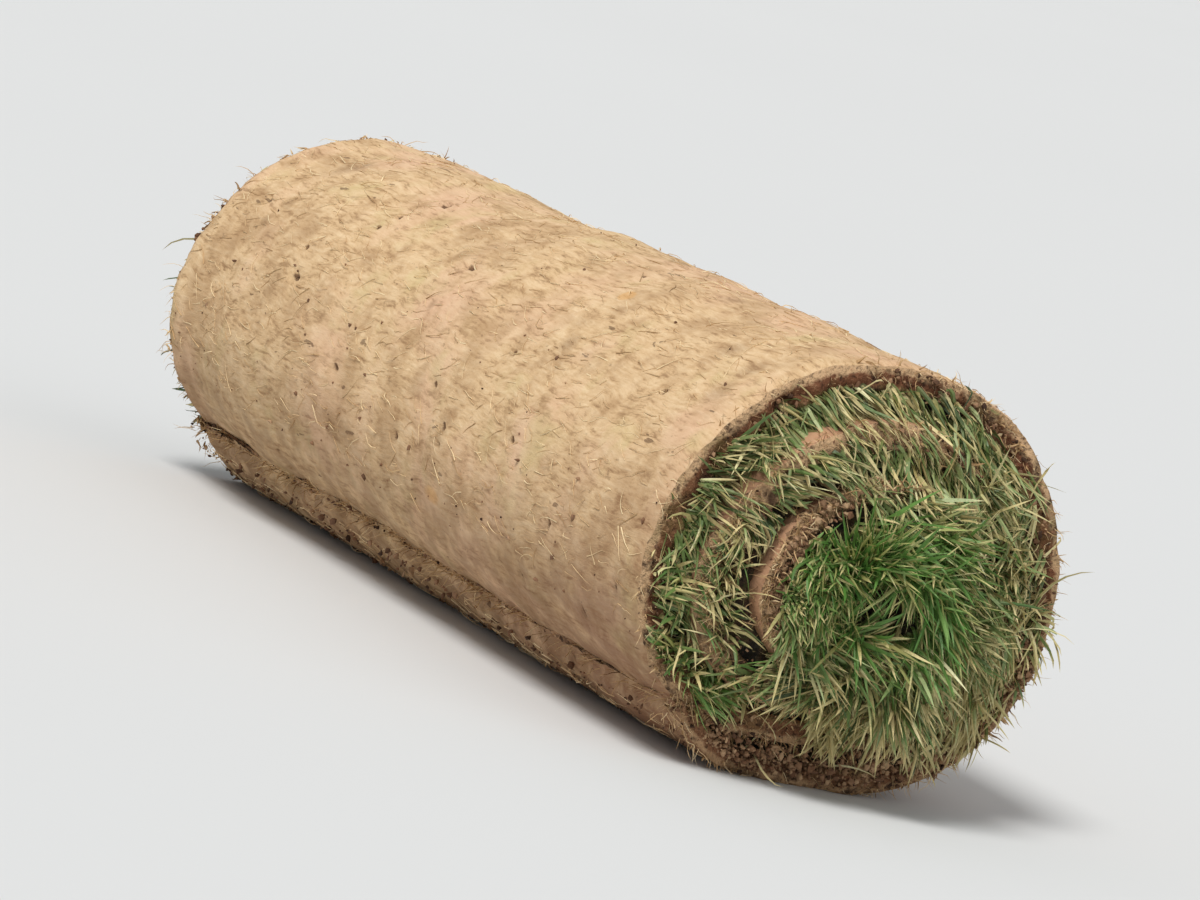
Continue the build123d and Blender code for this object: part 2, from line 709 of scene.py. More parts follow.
@dataclass(frozen=True)
class Wash:
    """A colour that covers another where a value goes from one limit to the other."""

    colour: Colour
    starts: float
    full: float
    strength: float = 1.0


@dataclass(frozen=True)
class Marks:
    """Scattered marks of one kind: their colour and strength, and the values of the specks group."""

    colour: Colour
    strength: float
    scale: float
    stretch: float
    size: float
    share: float
    core: float = 0.75


class MaterialTools(NodeTools):
    """Node tools for a new material, with its Principled shader and places in the roll's own axes."""

    def __init__(self, name: str) -> None:
        """Make the material.

        Args:
            name: name of the material.
        """
        self.material = bpy.data.materials.new(name)
        self.material.use_nodes = True
        super().__init__(self.material.node_tree)
        self.shader = self.tree.nodes["Principled BSDF"]
        self.place = self.add("TexCoord").outputs["Object"]

    def effect(self, group: Group, **inputs: object) -> bpy.types.bpy_prop_collection:
        """Place a shared effect.

        Args:
            group: the effect's group.
            inputs: values or sockets for its inputs besides Place.

        Returns:
            Its outputs.
        """
        node = self.tree.nodes.new("ShaderNodeGroup")
        node.node_tree = group
        for name, value in {"Place": self.place, **inputs}.items():
            self.feed(node.inputs[name], value)
        return node.outputs

    def held(self, name: str) -> Socket:
        """Read a value that the mesh's vertices hold."""
        return self.add("Attribute", {"attribute_name": name}).outputs["Fac"]

    def lumps(self, scale: float, detail: float = 3.0, roughness: float = 0.6) -> Socket:
        """Add a noise over the roll and return its value."""
        return self.noise(self.place, scale, detail, roughness)

    def wash(self, base: object, *layers: tuple[Socket, Wash]) -> Socket:
        """Lay washes over a colour, one after another, each where its value says so.

        Args:
            base: the colour.
            layers: values, each with its wash.

        Returns:
            The washed colour.
        """
        for value, wash in layers:
            share = self.remap(value, wash.starts, wash.full, 0.0, wash.strength)
            base = self.mix(share, base, wash.colour)
        return base

    def cover(self, base: object, mask: Socket, strength: float, colour: object) -> Socket:
        """Lay a colour over another by a mask, at a strength from 0 to 1."""
        return self.mix(self.math("MULTIPLY", mask, strength), base, colour)

    def scatter(self, base: object, marks: Marks) -> tuple[Socket, Socket]:
        """Scatter marks over a colour.

        Args:
            base: the colour's socket.
            marks: what they look like.

        Returns:
            The marked colour, and the mask of the marks.
        """
        labels = ("Scale", "Stretch", "Size", "Share", "Core")
        inputs = {label: getattr(marks, label.lower()) for label in labels}
        mask = self.effect(scattered_specks(), **inputs)["Mask"]
        return self.cover(base, mask, marks.strength, marks.colour), mask

    def finish(
        self, colour: Socket, roughness: Socket, height: Socket, bump: float,
        bump_strength: float = 1.0, specular: float = 0.5,
    ) -> Material:
        """Feed the shader.

        Args:
            colour: its colour.
            roughness: its roughness.
            height: what stands out of the surface.
            bump: how far that stands out.
            bump_strength: how strongly that bends the light.
            specular: its specular level.

        Returns:
            The finished material.
        """
        self.feed(self.shader.inputs["Base Color"], colour)
        self.feed(self.shader.inputs["Roughness"], roughness)
        self.shader.inputs["Specular IOR Level"].default_value = specular
        relief = self.add("Bump", Strength=bump_strength, Distance=bump, Height=height)
        self.feed(self.shader.inputs["Normal"], relief.outputs[0])
        return self.material


@dataclass(frozen=True)
class RootFaceFinish:
    """Dry, felted underside of the turf: tan roots that run along the roll, with darker gaps and specks."""

    pale: Colour = srgb(232, 203, 162)
    tan: Colour = srgb(210, 176, 133)
    brown: Colour = srgb(166, 129, 91)
    gap: Colour = srgb(126, 94, 66)
    speck: Colour = srgb(84, 58, 40)
    inner: Colour = srgb(188, 142, 110)
    damp_and_shade: Colour = srgb(132, 92, 68)
    hairs: Wash = Wash(brown, 0.42, 0.30, 0.5)
    rosy_washes: Wash = Wash(srgb(222, 178, 148), 0.50, 0.68, 0.55)
    green_patches: Wash = Wash(srgb(200, 184, 128), 0.56, 0.72, 0.45)
    pale_mottles: Wash = Wash(pale, 0.54, 0.72, 0.45)
    brown_patches: Wash = Wash(brown, 0.48, 0.32, 0.5)
    brown_mottles: Wash = Wash(brown, 0.46, 0.30, 0.5)
    damp_washes: Wash = Wash(damp_and_shade, 0.42, 0.58)
    torn_fibres: Wash = Wash(gap, 0.4, 0.6)
    gap_strength: float = 0.34
    straw: Marks = Marks(srgb(214, 160, 92), 0.5, scale=38.0, stretch=0.5, size=0.3, share=0.06)
    smudges: Marks = Marks(gap, 0.5, scale=44.0, stretch=0.8, size=0.42, share=0.16, core=0.1)
    grit: Marks = Marks(speck, 0.3, scale=330.0, stretch=0.6, size=0.36, share=0.05)
    dashes: Marks = Marks(speck, 0.6, scale=190.0, stretch=0.28, size=0.22, share=0.05)
    damp_and_shade_along: Span = (0.05, 0.28)
    dust_top: Span = (0.10, 0.15)
    dust_strength: float = 0.9
    damp_and_shade_height: Span = (0.095, 0.02)
    damp_and_shade_strength: float = 0.45
    inner_strength: float = 0.85
    torn_edge: Span = (-0.35, 0.25)
    torn_strength: float = 0.92
    hair_relief: float = 0.3
    roughness: Span = (0.98, 0.84)
    specular: float = 0.2
    bump: float = 0.0009

    def felted(self, tools: MaterialTools, felt: Socket, hairs: Socket, washes: Socket) -> Socket:
        """Colour the felt of roots, in broad washes, patches and mottles.

        Args:
            tools: the material's tools.
            felt: height of the coarse fibres.
            hairs: height of the fine fibres.
            washes: broad noise.

        Returns:
            The colour.
        """
        patches = tools.lumps(24.0)
        mottles = tools.lumps(52.0, 4.0)
        stops = [(0.0, self.brown), (0.45, self.tan), (1.0, self.pale)]
        return tools.wash(
            tools.ramp(tools.remap(felt, 0.30, 0.68), stops),
            (hairs, self.hairs),
            (washes, self.rosy_washes),
            (patches, self.green_patches),
            (mottles, self.pale_mottles),
            (patches, self.brown_patches),
            (mottles, self.brown_mottles),
        )

    def soiled_and_shaded(self, tools: MaterialTools, colour: Socket, washes: Socket) -> Socket:
        """Rub soil on low down, redder and damper towards the near end and on the buried turns; low on the
        flank this darkening is partly painted shade.

        Args:
            tools: the material's tools.
            colour: the clean colour.
            washes: broad noise.

        Returns:
            The soiled colour.
        """
        sides = tools.add("SeparateXYZ", Vector=tools.place).outputs
        # Low down and towards the near end the face is darkened, partly by damp rubbed-on soil and partly as
        # painted shade of the lower flank.
        near_end = tools.remap(sides["X"], *self.damp_and_shade_along)
        top = tools.remap(sides["X"], *self.damp_and_shade_along, *self.dust_top)
        dust = tools.effect(soil_dust(), Top=top, Scale=60.0)["Mask"]
        soil = tools.mix(near_end, self.gap, self.damp_and_shade)
        colour = tools.cover(colour, dust, self.dust_strength, soil)
        # Darker towards the floor, most at the near end: damp soil, and partly painted shade.
        low = tools.remap(sides["Z"], *self.damp_and_shade_height, 0.0, self.damp_and_shade_strength)
        colour = tools.cover(colour, near_end, low, self.damp_and_shade)
        inner = tools.wash(self.inner, (washes, self.damp_washes))
        return tools.cover(colour, tools.held("buried"), self.inner_strength, inner)

    def material(self) -> Material:
        """Build the material.

        Returns:
            The material.
        """
        tools = MaterialTools("root_face")
        felt = tools.effect(felted_fibres(), Scale=400.0, Stretch=0.20, Waviness=0.007)
        hairs = tools.effect(felted_fibres(), Scale=900.0, Stretch=0.13, Waviness=0.01)["Height"]
        washes = tools.lumps(13.0)
        colour = self.felted(tools, felt["Height"], hairs, washes)
        colour = tools.cover(colour, felt["Gaps"], self.gap_strength, self.gap)
        for marks in (self.straw, self.smudges, self.grit):
            colour, _ = tools.scatter(colour, marks)
        colour, pits = tools.scatter(colour, self.dashes)
        colour = self.soiled_and_shaded(tools, colour, washes)
        ragged = tools.spread(felt["Height"], *self.torn_edge)
        torn = tools.math("ADD", tools.held("gouged"), ragged)
        crumbly = tools.wash(self.speck, (hairs, self.torn_fibres))
        colour = tools.mix(tools.remap(torn, 0.35, 0.6, 0.0, self.torn_strength), colour, crumbly)
        height = tools.math("ADD", felt["Height"], tools.math("MULTIPLY", hairs, self.hair_relief))
        height = tools.math("SUBTRACT", height, tools.math("MULTIPLY", pits, self.hair_relief))
        roughness = tools.spread(felt["Height"], *self.roughness)
        return tools.finish(colour, roughness, height, self.bump, specular=self.specular)


@dataclass(frozen=True)
class CutEdgeFinish:
    """Knife-cut edge of the mat: a tan skin of roots outside, then dark crumbly soil and thatch."""

    skin: Colour = srgb(206, 170, 130)
    soil: Colour = srgb(120, 78, 54)
    dark: Colour = srgb(58, 38, 28)
    crumb: Colour = srgb(172, 130, 96)
    thatch: Colour = srgb(112, 98, 60)
    thatch_patches: Wash = Wash(thatch, 0.48, 0.66, 0.6)
    dark_lumps: Wash = Wash(dark, 0.46, 0.34, 0.85)
    pale_crumbs: Wash = Wash(crumb, 0.56, 0.70, 0.9)
    dark_crumbs: Wash = Wash(dark, 0.46, 0.34, 0.8)
    root_bits: Marks = Marks(skin, 0.7, scale=240.0, stretch=0.8, size=0.3, share=0.25)
    mixing: float = 0.16
    loose_strength: float = 0.7
    inner_strength: float = 0.85
    dust_strength: float = 0.55
    lump_relief: float = 1.5
    roughness: Span = (1.0, 0.86)
    specular: float = 0.2
    bump: float = 0.0030

    def material(self) -> Material:
        """Build the material.

        Returns:
            The material.
        """
        tools = MaterialTools("cut_edge")
        crumbs = tools.lumps(330.0, 4.0, 0.7)
        lumps = tools.lumps(120.0)
        depth = tools.math("ADD", tools.held("depth"), tools.spread(lumps, -self.mixing, self.mixing))
        skin, soil = self.skin, self.soil
        stops = [(0.0, skin), (0.24, skin), (0.38, soil), (0.72, soil), (1.0, self.thatch)]
        colour = tools.wash(tools.ramp(depth, stops), (tools.lumps(45.0), self.thatch_patches))
        colour = tools.cover(colour, tools.held("loose"), self.loose_strength, self.crumb)
        colour = tools.cover(colour, tools.held("buried"), self.inner_strength, self.skin)
        dust = tools.effect(soil_dust(), Top=0.07, Scale=90.0)["Mask"]
        colour = tools.cover(colour, dust, self.dust_strength, self.crumb)
        layers = ((lumps, self.dark_lumps), (crumbs, self.pale_crumbs), (crumbs, self.dark_crumbs))
        colour = tools.wash(colour, *layers)
        colour, _ = tools.scatter(colour, self.root_bits)
        height = tools.math("ADD", crumbs, tools.math("MULTIPLY", lumps, self.lump_relief))
        roughness = tools.spread(crumbs, *self.roughness)
        return tools.finish(colour, roughness, height, self.bump, specular=self.specular)


@dataclass(frozen=True)
class ThatchFinish:
    """Pressed grass and thatch deep between the turns, mostly in shade; its near-black tones and dark clumps
    are partly painted shade.
    """

    dark: Colour = srgb(26, 22, 13)
    brown: Colour = srgb(84, 62, 40)
    green: Colour = srgb(70, 78, 38)
    dark_and_shaded_clumps: Wash = Wash(dark, 0.54, 0.42, 0.9)
    chaff: Marks = Marks(srgb(148, 128, 82), 0.6, scale=260.0, stretch=0.5, size=0.35, share=0.2)
    roughness: Span = (0.95, 0.75)
    bump: float = 0.005

    def material(self) -> Material:
        """Build the material.

        Returns:
            The material.
        """
        tools = MaterialTools("pressed_thatch")
        strands = tools.effect(felted_fibres(), Scale=260.0, Stretch=0.5, Waviness=0.02)["Height"]
        clumps = tools.lumps(110.0)
        # The near-black stop and the dark clumps are dark thatch, and partly painted shade between the turns.
        stops = [(0.0, self.dark), (0.5, self.brown), (1.0, self.green)]
        colour = tools.ramp(tools.remap(strands, 0.38, 0.62), stops)
        colour = tools.wash(colour, (clumps, self.dark_and_shaded_clumps))
        colour, _ = tools.scatter(colour, self.chaff)
        roughness = tools.spread(strands, *self.roughness)
        return tools.finish(colour, roughness, tools.math("ADD", strands, clumps), self.bump)


@dataclass(frozen=True)
class BladeFinish:
    """Grass blades: each has its own tone, a paler root, and a tip or more that has dried."""

    name: str
    deep: Colour
    middle: Colour
    light: Colour
    root: Colour
    dried: Colour
    young: Colour
    roughness: Span = (0.42, 0.62)
    young_strength: float = 0.6
    patchiness: float = 0.2
    bump: float = 0.0003

    def material(self) -> Material:
        """Build the material.

        Returns:
            The material.
        """
        tools = MaterialTools(self.name)
        along = tools.held("along")
        streak = tools.lumps(900.0, 2.0, 0.5)
        stops = [(0.0, self.deep), (0.5, self.middle), (1.0, self.light)]
        colour = tools.ramp(tools.held("tone"), stops)
        colour = tools.cover(colour, tools.held("fresh"), self.young_strength, self.young)
        dry = tools.math("SUBTRACT", tools.held("dry"), tools.spread(streak, 0.0, self.patchiness))
        colour = tools.wash(
            colour,
            (along, Wash(self.root, 0.35, 0.0, 0.6)),
            (tools.math("ADD", along, dry), Wash(self.dried, 1.05, 1.35, 0.9)),
            (streak, Wash(self.deep, 0.55, 0.75, 0.35)),
        )
        roughness = tools.spread(streak, *self.roughness)
        return tools.finish(colour, roughness, streak, self.bump, bump_strength=0.4)


@dataclass(frozen=True)
class FibreFinish:
    """Loose roots or crumbs: each has its own tone, from dark to pale."""

    name: str
    pale: Colour
    middle: Colour
    dark: Colour
    roughness: Span = (0.95, 0.7)
    specular: float = 0.25
    bump: float = 0.0003

    def material(self) -> Material:
        """Build the material.

        Returns:
            The material.
        """
        tools = MaterialTools(self.name)
        dust = tools.lumps(400.0)
        colour = tools.ramp(tools.held("tone"), [(0.0, self.dark), (0.5, self.middle), (1.0, self.pale)])
        colour = tools.wash(colour, (dust, Wash(self.dark, 0.5, 0.75, 0.5)))
        roughness = tools.spread(dust, *self.roughness)
        return tools.finish(colour, roughness, dust, self.bump, bump_strength=0.5, specular=self.specular)


GREEN_BLADES = BladeFinish(
    name="green_blade",
    deep=srgb(58, 72, 36),
    middle=srgb(114, 130, 72),
    light=srgb(186, 194, 138),
    root=srgb(136, 126, 80),
    dried=srgb(202, 186, 132),
    young=srgb(88, 146, 54),
)
STRAW_BLADES = BladeFinish(
    name="straw_blade",
    deep=srgb(116, 94, 58),
    middle=srgb(188, 174, 116),
    light=srgb(232, 226, 178),
    root=srgb(142, 124, 78),
    dried=srgb(220, 202, 144),
    young=srgb(168, 178, 96),
    roughness=(0.52, 0.72),
)
ROOT_FIBRES = FibreFinish(
    name="root_fibre", pale=srgb(236, 212, 168), middle=srgb(198, 162, 116), dark=srgb(122, 92, 62)
)
SOIL_CRUMBS = FibreFinish(
    name="soil_crumb", pale=srgb(192, 158, 122), middle=srgb(136, 100, 74), dark=srgb(66, 46, 34)
)


@dataclass
class StripGrid:
    """A closed section that is repeated for each row along the strip, as flat arrays."""

    rows: Array
    share: Array
    depth: Array

    def __post_init__(self) -> None:
        """Repeat the distances along, the shares of the way from near to far, and the depths."""
        self.along = np.repeat(self.rows, len(self.share))
        self.shares = np.tile(self.share, len(self.rows))
        self.depths = np.tile(self.depth, len(self.rows))

    def walls(self) -> Array:
        """Find the quads round the section.

        Returns:
            The quads between all rows, of shape (n, 4).
        """
        around = len(self.share)
        row = np.arange(len(self.rows) - 1)[:, None] * around
        column = np.arange(around)
        following = (column + 1) % around
        corners = [row + around + column, row + around + following, row + following, row + column]
        return np.stack(corners, axis=-1).reshape(-1, 4)

    def both_caps(self, cap: Array) -> Array:
        """Triangles that close both ends, from those over the first row."""
        return np.concatenate([cap, cap[:, ::-1] + (len(self.rows) - 1) * len(self.share)])


@dataclass
class RootMat(OnSurface):
    """The mat itself: one strip of roots and soil with its wound faces, ragged cut edges and both ends."""

    outer_columns: int = 150
    inner_columns: int = 22
    edge_rows: int = 5
    crowding: float = 0.35
    tip_rows: tuple[float, ...] = (0.0, 0.0006, 0.0015, 0.0028, 0.0045)
    fine_start: float = 0.0065
    fine_step: float = 0.0030
    middle_step: float = 0.0038
    coarse_step: float = 0.0060
    ragged: float = 0.0022
    ragged_length: float = 0.006
    wander: float = 0.0026
    wander_length: float = 0.07
    notch: float = 0.0055
    notch_length: float = 0.024
    set_back: float = 0.010
    set_back_from: float = 0.06
    set_back_to: float = 0.02
    shown_arc: float = 0.065
    rounding: float = 0.35
    lip: float = 0.012
    tail_thinning: float = 0.04
    lip_thinning: float = 0.009
    tail_tear: float = 0.003
    tear_length: float = 0.014
    above_floor: float = 0.0002
    seed: int = 12

    def grid(self) -> StripGrid:
        """Lay out the mesh, finest where the strip shows most and beside its cut edges.

        Returns:
            The section, from the near edge over the outer face and back, for each row.
        """
        second = self.winding.starts[HalfTurn.SECOND_UNDER]
        third = self.winding.starts[HalfTurn.THIRD_UNDER]
        fine = np.arange(self.fine_start, second, self.fine_step)
        middle = np.arange(second, third, self.middle_step)
        coarse = np.arange(third, self.winding.length, self.coarse_step)
        rows = np.concatenate([self.tip_rows, fine, middle, coarse, [self.winding.length]])
        even = np.linspace(0, 1, self.outer_columns)
        outer = self.crowding * (0.5 - 0.5 * np.cos(math.pi * even)) + (1 - self.crowding) * even
        inner = np.linspace(1, 0, self.inner_columns)
        down = np.linspace(0, 1, self.edge_rows + 2)[1:-1]
        share = np.concatenate([outer, np.ones(self.edge_rows), inner, np.zeros(self.edge_rows)])
        depth = [np.zeros(self.outer_columns), down, np.ones(self.inner_columns), down[::-1]]
        return StripGrid(rows, share, np.concatenate(depth) * self.winding.size.mat)

    def shown(self, along: Array) -> Array:
        """How near distances along the strip are to the middle of the arc that shows, from 0 to 1."""
        return bell(along, self.winding.starts[HalfTurn.CORE_UNDER], self.shown_arc)

    def edge(self, noise: ValueNoise, along: Array, depth: Array, end: End) -> Array:
        """Find where a ragged cut edge lies along X.

        Args:
            noise: what makes it ragged.
            along: distances from the loose end.
            depth: depths under the outer face.
            end: which end of the roll.

        Returns:
            One place for each of them.
        """
        places = on_cut(along, depth, end)
        wander = noise.at(places, self.wander_length, 2) * self.wander
        crumble = noise.at(places, self.ragged_length, 2) * self.ragged
        notched = smoothstep(noise.at(places + 1.0, self.notch_length, 2), 0.45, 0.85) * self.notch
        inner = self.winding.starts[HalfTurn.THIRD_UNDER]
        hidden = smoothstep(along, inner - self.set_back_from, inner + self.set_back_to)
        hidden = self.set_back * hidden * (1 - self.shown(along))
        skin = 1 - smoothstep(depth / self.winding.size.mat, 0.0, self.rounding)
        stands = wander + crumble - notched - hidden - self.surface.worn_rim * skin
        return self.winding.cut_edge(along, end) + end.value * stands

    def torn_tail(self, noise: ValueNoise, x: Array, along: Array, depth: Array) -> Pair:
        """Thin the loose end and tear its edge.

        Args:
            noise: what tears it.
            x: places along X.
            along: distances from the plain loose end.
            depth: depths under the outer face.

        Returns:
            The distances and the depths, moved.
        """
        size = self.winding.size
        near_tail = 1 - smoothstep(along, 0.0, self.tail_thinning)
        thinned = 0.5 * (1 - smoothstep(along, 0.0, self.lip_thinning)) + 0.3 * near_tail
        inside = depth + thinned * (size.mat * 0.92 - depth)
        tears = noise.at(np.column_stack([x, depth * 0.5, np.zeros(x.size)]), self.tear_length, 3)
        moved = along + (self.surface.loose_edge(x) + self.tail_tear * tears) * near_tail
        return np.clip(moved, 0.0, self.winding.length), inside

    def make(self, face: Material, edge: Material) -> None:
        """Build the mat.

        Args:
            face: material of the root face and the grass side.
            edge: material of the cut edges.
        """
        size = self.winding.size
        noise = ValueNoise(self.seed)
        grid = self.grid()
        along, depth = grid.along, grid.depths
        near, far = (self.edge(noise, along, depth, end) for end in End)
        x = near + (far - near) * grid.shares
        lift = self.surface.lift(along, x) * (1 - 1.4 * depth / size.mat)
        moved, inside = self.torn_tail(noise, x, along, depth)
        vertices = self.winding.at(x, moved, inside - lift)
        vertices[:, 2] = np.maximum(vertices[:, 2], self.above_floor)
        buried = self.winding.starts[HalfTurn.SECOND_OVER]
        values = {
            "depth": depth / size.mat,
            "gouged": self.surface.gouged(along, x),
            "buried": smoothstep(along, buried - 0.02, buried + 0.05),
            "loose": np.maximum(1 - smoothstep(along, 0.0, self.lip), self.shown(along)),
        }
        columns = [self.outer_columns - 1, self.edge_rows + 1, self.inner_columns - 1, self.edge_rows + 1]
        mesh = PieceMesh(
            vertices,
            grid.both_caps(self._cap(len(grid.share))),
            grid.walls(),
            values,
            quad_slots=np.tile(np.repeat([0, 1, 0, 1], columns), len(grid.rows) - 1),
            triangle_slot=1,
        )
        mesh.make("root_mat", [face, edge], smooth=True, stands_for_node=True)

    def _cap(self, around: int) -> Array:
        """Close the strip's loose end, zipped between its two faces.

        Args:
            around: number of points round the section.

        Returns:
            The triangles, of shape (n, 3).
        """
        outer = list(range(self.outer_columns))
        inner = list(range(around - 1, self.outer_columns - 1, -1))
        triangles = []
        i = j = 0
        while i < len(outer) - 1 or j < len(inner) - 1:
            outer_first = (i + 1) * len(inner) <= (j + 1) * len(outer)
            if j == len(inner) - 1 or (i < len(outer) - 1 and outer_first):
                triangles.append((outer[i], outer[i + 1], inner[j]))
                i += 1
            else:
                triangles.append((outer[i], inner[j + 1], inner[j]))
                j += 1
        return np.array(triangles)


@dataclass
class Thatch:
    """Pressed grass between the turns, and the plug of it in the innermost turn."""

    winding: Winding
    first_row: float = 0.012
    row_step: float = 0.004
    overlap: float = 0.001
    above_floor: float = 0.004
    end_rings: int = 6
    rough: float = 0.0035
    rough_length: float = 0.012
    recess: float = 0.004
    plug_rings: int = 14
    plug_spokes: int = 96
    plug_overlap: float = 0.004
    wall_shares: tuple[float, ...] = (0.0, 0.02, 0.98, 1.0)
    plug_rough: float = 0.004
    plug_rough_length: float = 0.02
    eye_radius: float = 0.009
    eye_depth: float = 0.02
    seed: int = 23

    def end_face(self, noise: ValueNoise, along: Array, depth: Array, end: End) -> Array:
        """Where the rough end of the pressed grass lies along X, by distance along and depth."""
        rough = noise.at(on_cut(along, depth, end), self.rough_length, 3) * self.rough
        return self.winding.cut_edge(along, end) + end.value * (rough - self.recess)

    def make_wound(self, material: Material) -> None:
        """Build the wound layer between the turns.

        Args:
            material: its finish.
        """
        size = self.winding.size
        noise = ValueNoise(self.seed)
        rows = np.append(np.arange(self.first_row, self.winding.length, self.row_step), self.winding.length)
        top, bottom = size.mat - self.overlap, size.pitch + self.overlap
        down = np.linspace(top, bottom, self.end_rings)[1:-1]
        length = np.array(self.wall_shares)
        share = np.concatenate([length, np.ones_like(down), length[::-1], np.zeros_like(down)])
        depth = [np.full_like(length, top), down, np.full_like(length, bottom), down[::-1]]
        grid = StripGrid(rows, share, np.concatenate(depth))
        near, far = (self.end_face(noise, grid.along, grid.depths, end) for end in End)
        vertices = self.winding.at(near + (far - near) * grid.shares, grid.along, grid.depths)
        vertices[:, 2] = np.maximum(vertices[:, 2], self.above_floor)
        fan = np.array([(0, i, i + 1) for i in range(1, len(share) - 1)])
        mesh = PieceMesh(vertices, grid.both_caps(fan), grid.walls())
        mesh.make("pressed_thatch", [material], smooth=True, stands_for_node=True)

    def core_height(self, noise: ValueNoise, yz: Array, end: End) -> Array:
        """Find where the rough end of the plug lies along X.

        Args:
            noise: what makes it rough.
            yz: places across the roll.
            end: which end of the roll.

        Returns:
            One place for each place across.
        """
        size = self.winding.size
        radius = np.hypot(yz[:, 0], yz[:, 1] - size.axis_height)
        places = np.column_stack([yz, np.full(len(yz), end.value)])
        rough = noise.at(places, self.plug_rough_length, 3) * self.plug_rough
        eye = self.eye_depth * (1 - smoothstep(radius, 0.3 * self.eye_radius, 1.6 * self.eye_radius))
        if end is End.NEAR:
            dome = size.core_bulge * (1 - smoothstep(radius, 0.0, size.dome_radius)) - self.recess
            return size.near_rim + size.full_slide + dome + rough - eye
        return size.far_rim + size.far_share * size.full_slide + self.recess - rough + eye

    def make_plug(self, material: Material) -> None:
        """Build the plug that fills the innermost turn.

        Args:
            material: its finish.
        """
        size = self.winding.size
        noise = ValueNoise(self.seed + 1)
        start = self.winding.starts[HalfTurn.THIRD_OVER]
        along = np.linspace(start, self.winding.length, self.plug_spokes)
        rim = self.winding.place(along, np.full(self.plug_spokes, size.mat + self.plug_overlap))
        middle = self.winding.axis
        ring = np.linspace(0, 1, self.plug_rings + 1)[1:, None, None]
        yz = np.concatenate([[middle], (middle + (rim - middle) * ring).reshape(-1, 2)])
        faces = [np.column_stack([self.core_height(noise, yz, end), yz]) for end in End]
        spokes = np.arange(self.plug_spokes)
        following = (spokes + 1) % self.plug_spokes
        fan = np.stack([np.zeros_like(spokes), 1 + spokes, 1 + following], -1)
        inner = 1 + np.arange(self.plug_rings - 1)[:, None] * self.plug_spokes
        outer = inner + self.plug_spokes
        quads = np.stack([inner + spokes, outer + spokes, outer + following, inner + following], -1)
        quads = quads.reshape(-1, 4)
        last = 1 + (self.plug_rings - 1) * self.plug_spokes
        far = len(yz)
        wall = np.stack([last + spokes, last + far + spokes, last + far + following, last + following], -1)
        mesh = PieceMesh(
            np.concatenate(faces),
            np.concatenate([fan, fan[:, ::-1] + far]),
            np.concatenate([quads, quads[:, ::-1] + far, wall]),
        )
        mesh.make("grass_core", [material], smooth=True, stands_for_node=True)


def ribbons(
    rng: Rng, paths: Array, hints: Array, widths: Array, thickness: float, taper: Array
) -> PieceMesh:
    """Turn paths into closed, pointed blades with a three-cornered section, folded up or down.

    Args:
        rng: random source.
        paths: points along each blade, of shape (n, m, 3).
        hints: a direction for each blade, which its width lies near.
        widths: full width of each blade.
        thickness: height of the section, as a share of the width.
        taper: share of the width at each point but the last, which is the tip.

    Returns:
        The mesh, whose vertices hold how far along their blade they lie, from 0 to 1.
    """
    count, points, _ = paths.shape
    keel_up = rng.random(count) < 0.5
    forward = unit(np.gradient(paths, axis=1))
    side = hints[:, None, :] - forward * np.sum(hints[:, None, :] * forward, axis=-1, keepdims=True)
    side = unit(side)
    up = np.cross(side, forward) * np.where(keel_up, 1.0, -1.0)[:, None, None]
    half = widths[:, None, None] * taper[None, :, None] / 2
    body = paths[:, :-1]
    left = body + side[:, :-1] * half
    right = body - side[:, :-1] * half
    keel = body + up[:, :-1] * half * 2 * thickness
    rings = np.stack([left, right, keel], axis=2).reshape(count, (points - 1) * 3, 3)
    vertices = np.concatenate([rings, paths[:, -1:]], axis=1)
    per_blade = vertices.shape[1]
    triangles = [(0, 2, 1)]
    for ring in range(points - 2):
        low, high = ring * 3, ring * 3 + 3
        for a, b in ((0, 1), (1, 2), (2, 0)):
            triangles += [(low + a, low + b, high + b), (low + a, high + b, high + a)]
    last = (points - 2) * 3
    for a, b in ((0, 1), (1, 2), (2, 0)):
        triangles.append((last + a, last + b, per_blade - 1))
    faces = np.array(triangles)
    flipped = np.where(keel_up[:, None, None], faces[:, ::-1], faces)
    offsets = np.arange(count)[:, None, None] * per_blade
    along = np.append(np.repeat(np.linspace(0, 1, points)[:-1], 3), 1.0)
    values = {"along": np.tile(along, count)}
    return PieceMesh(vertices.reshape(-1, 3), (flipped + offsets).reshape(-1, 3), values=values)


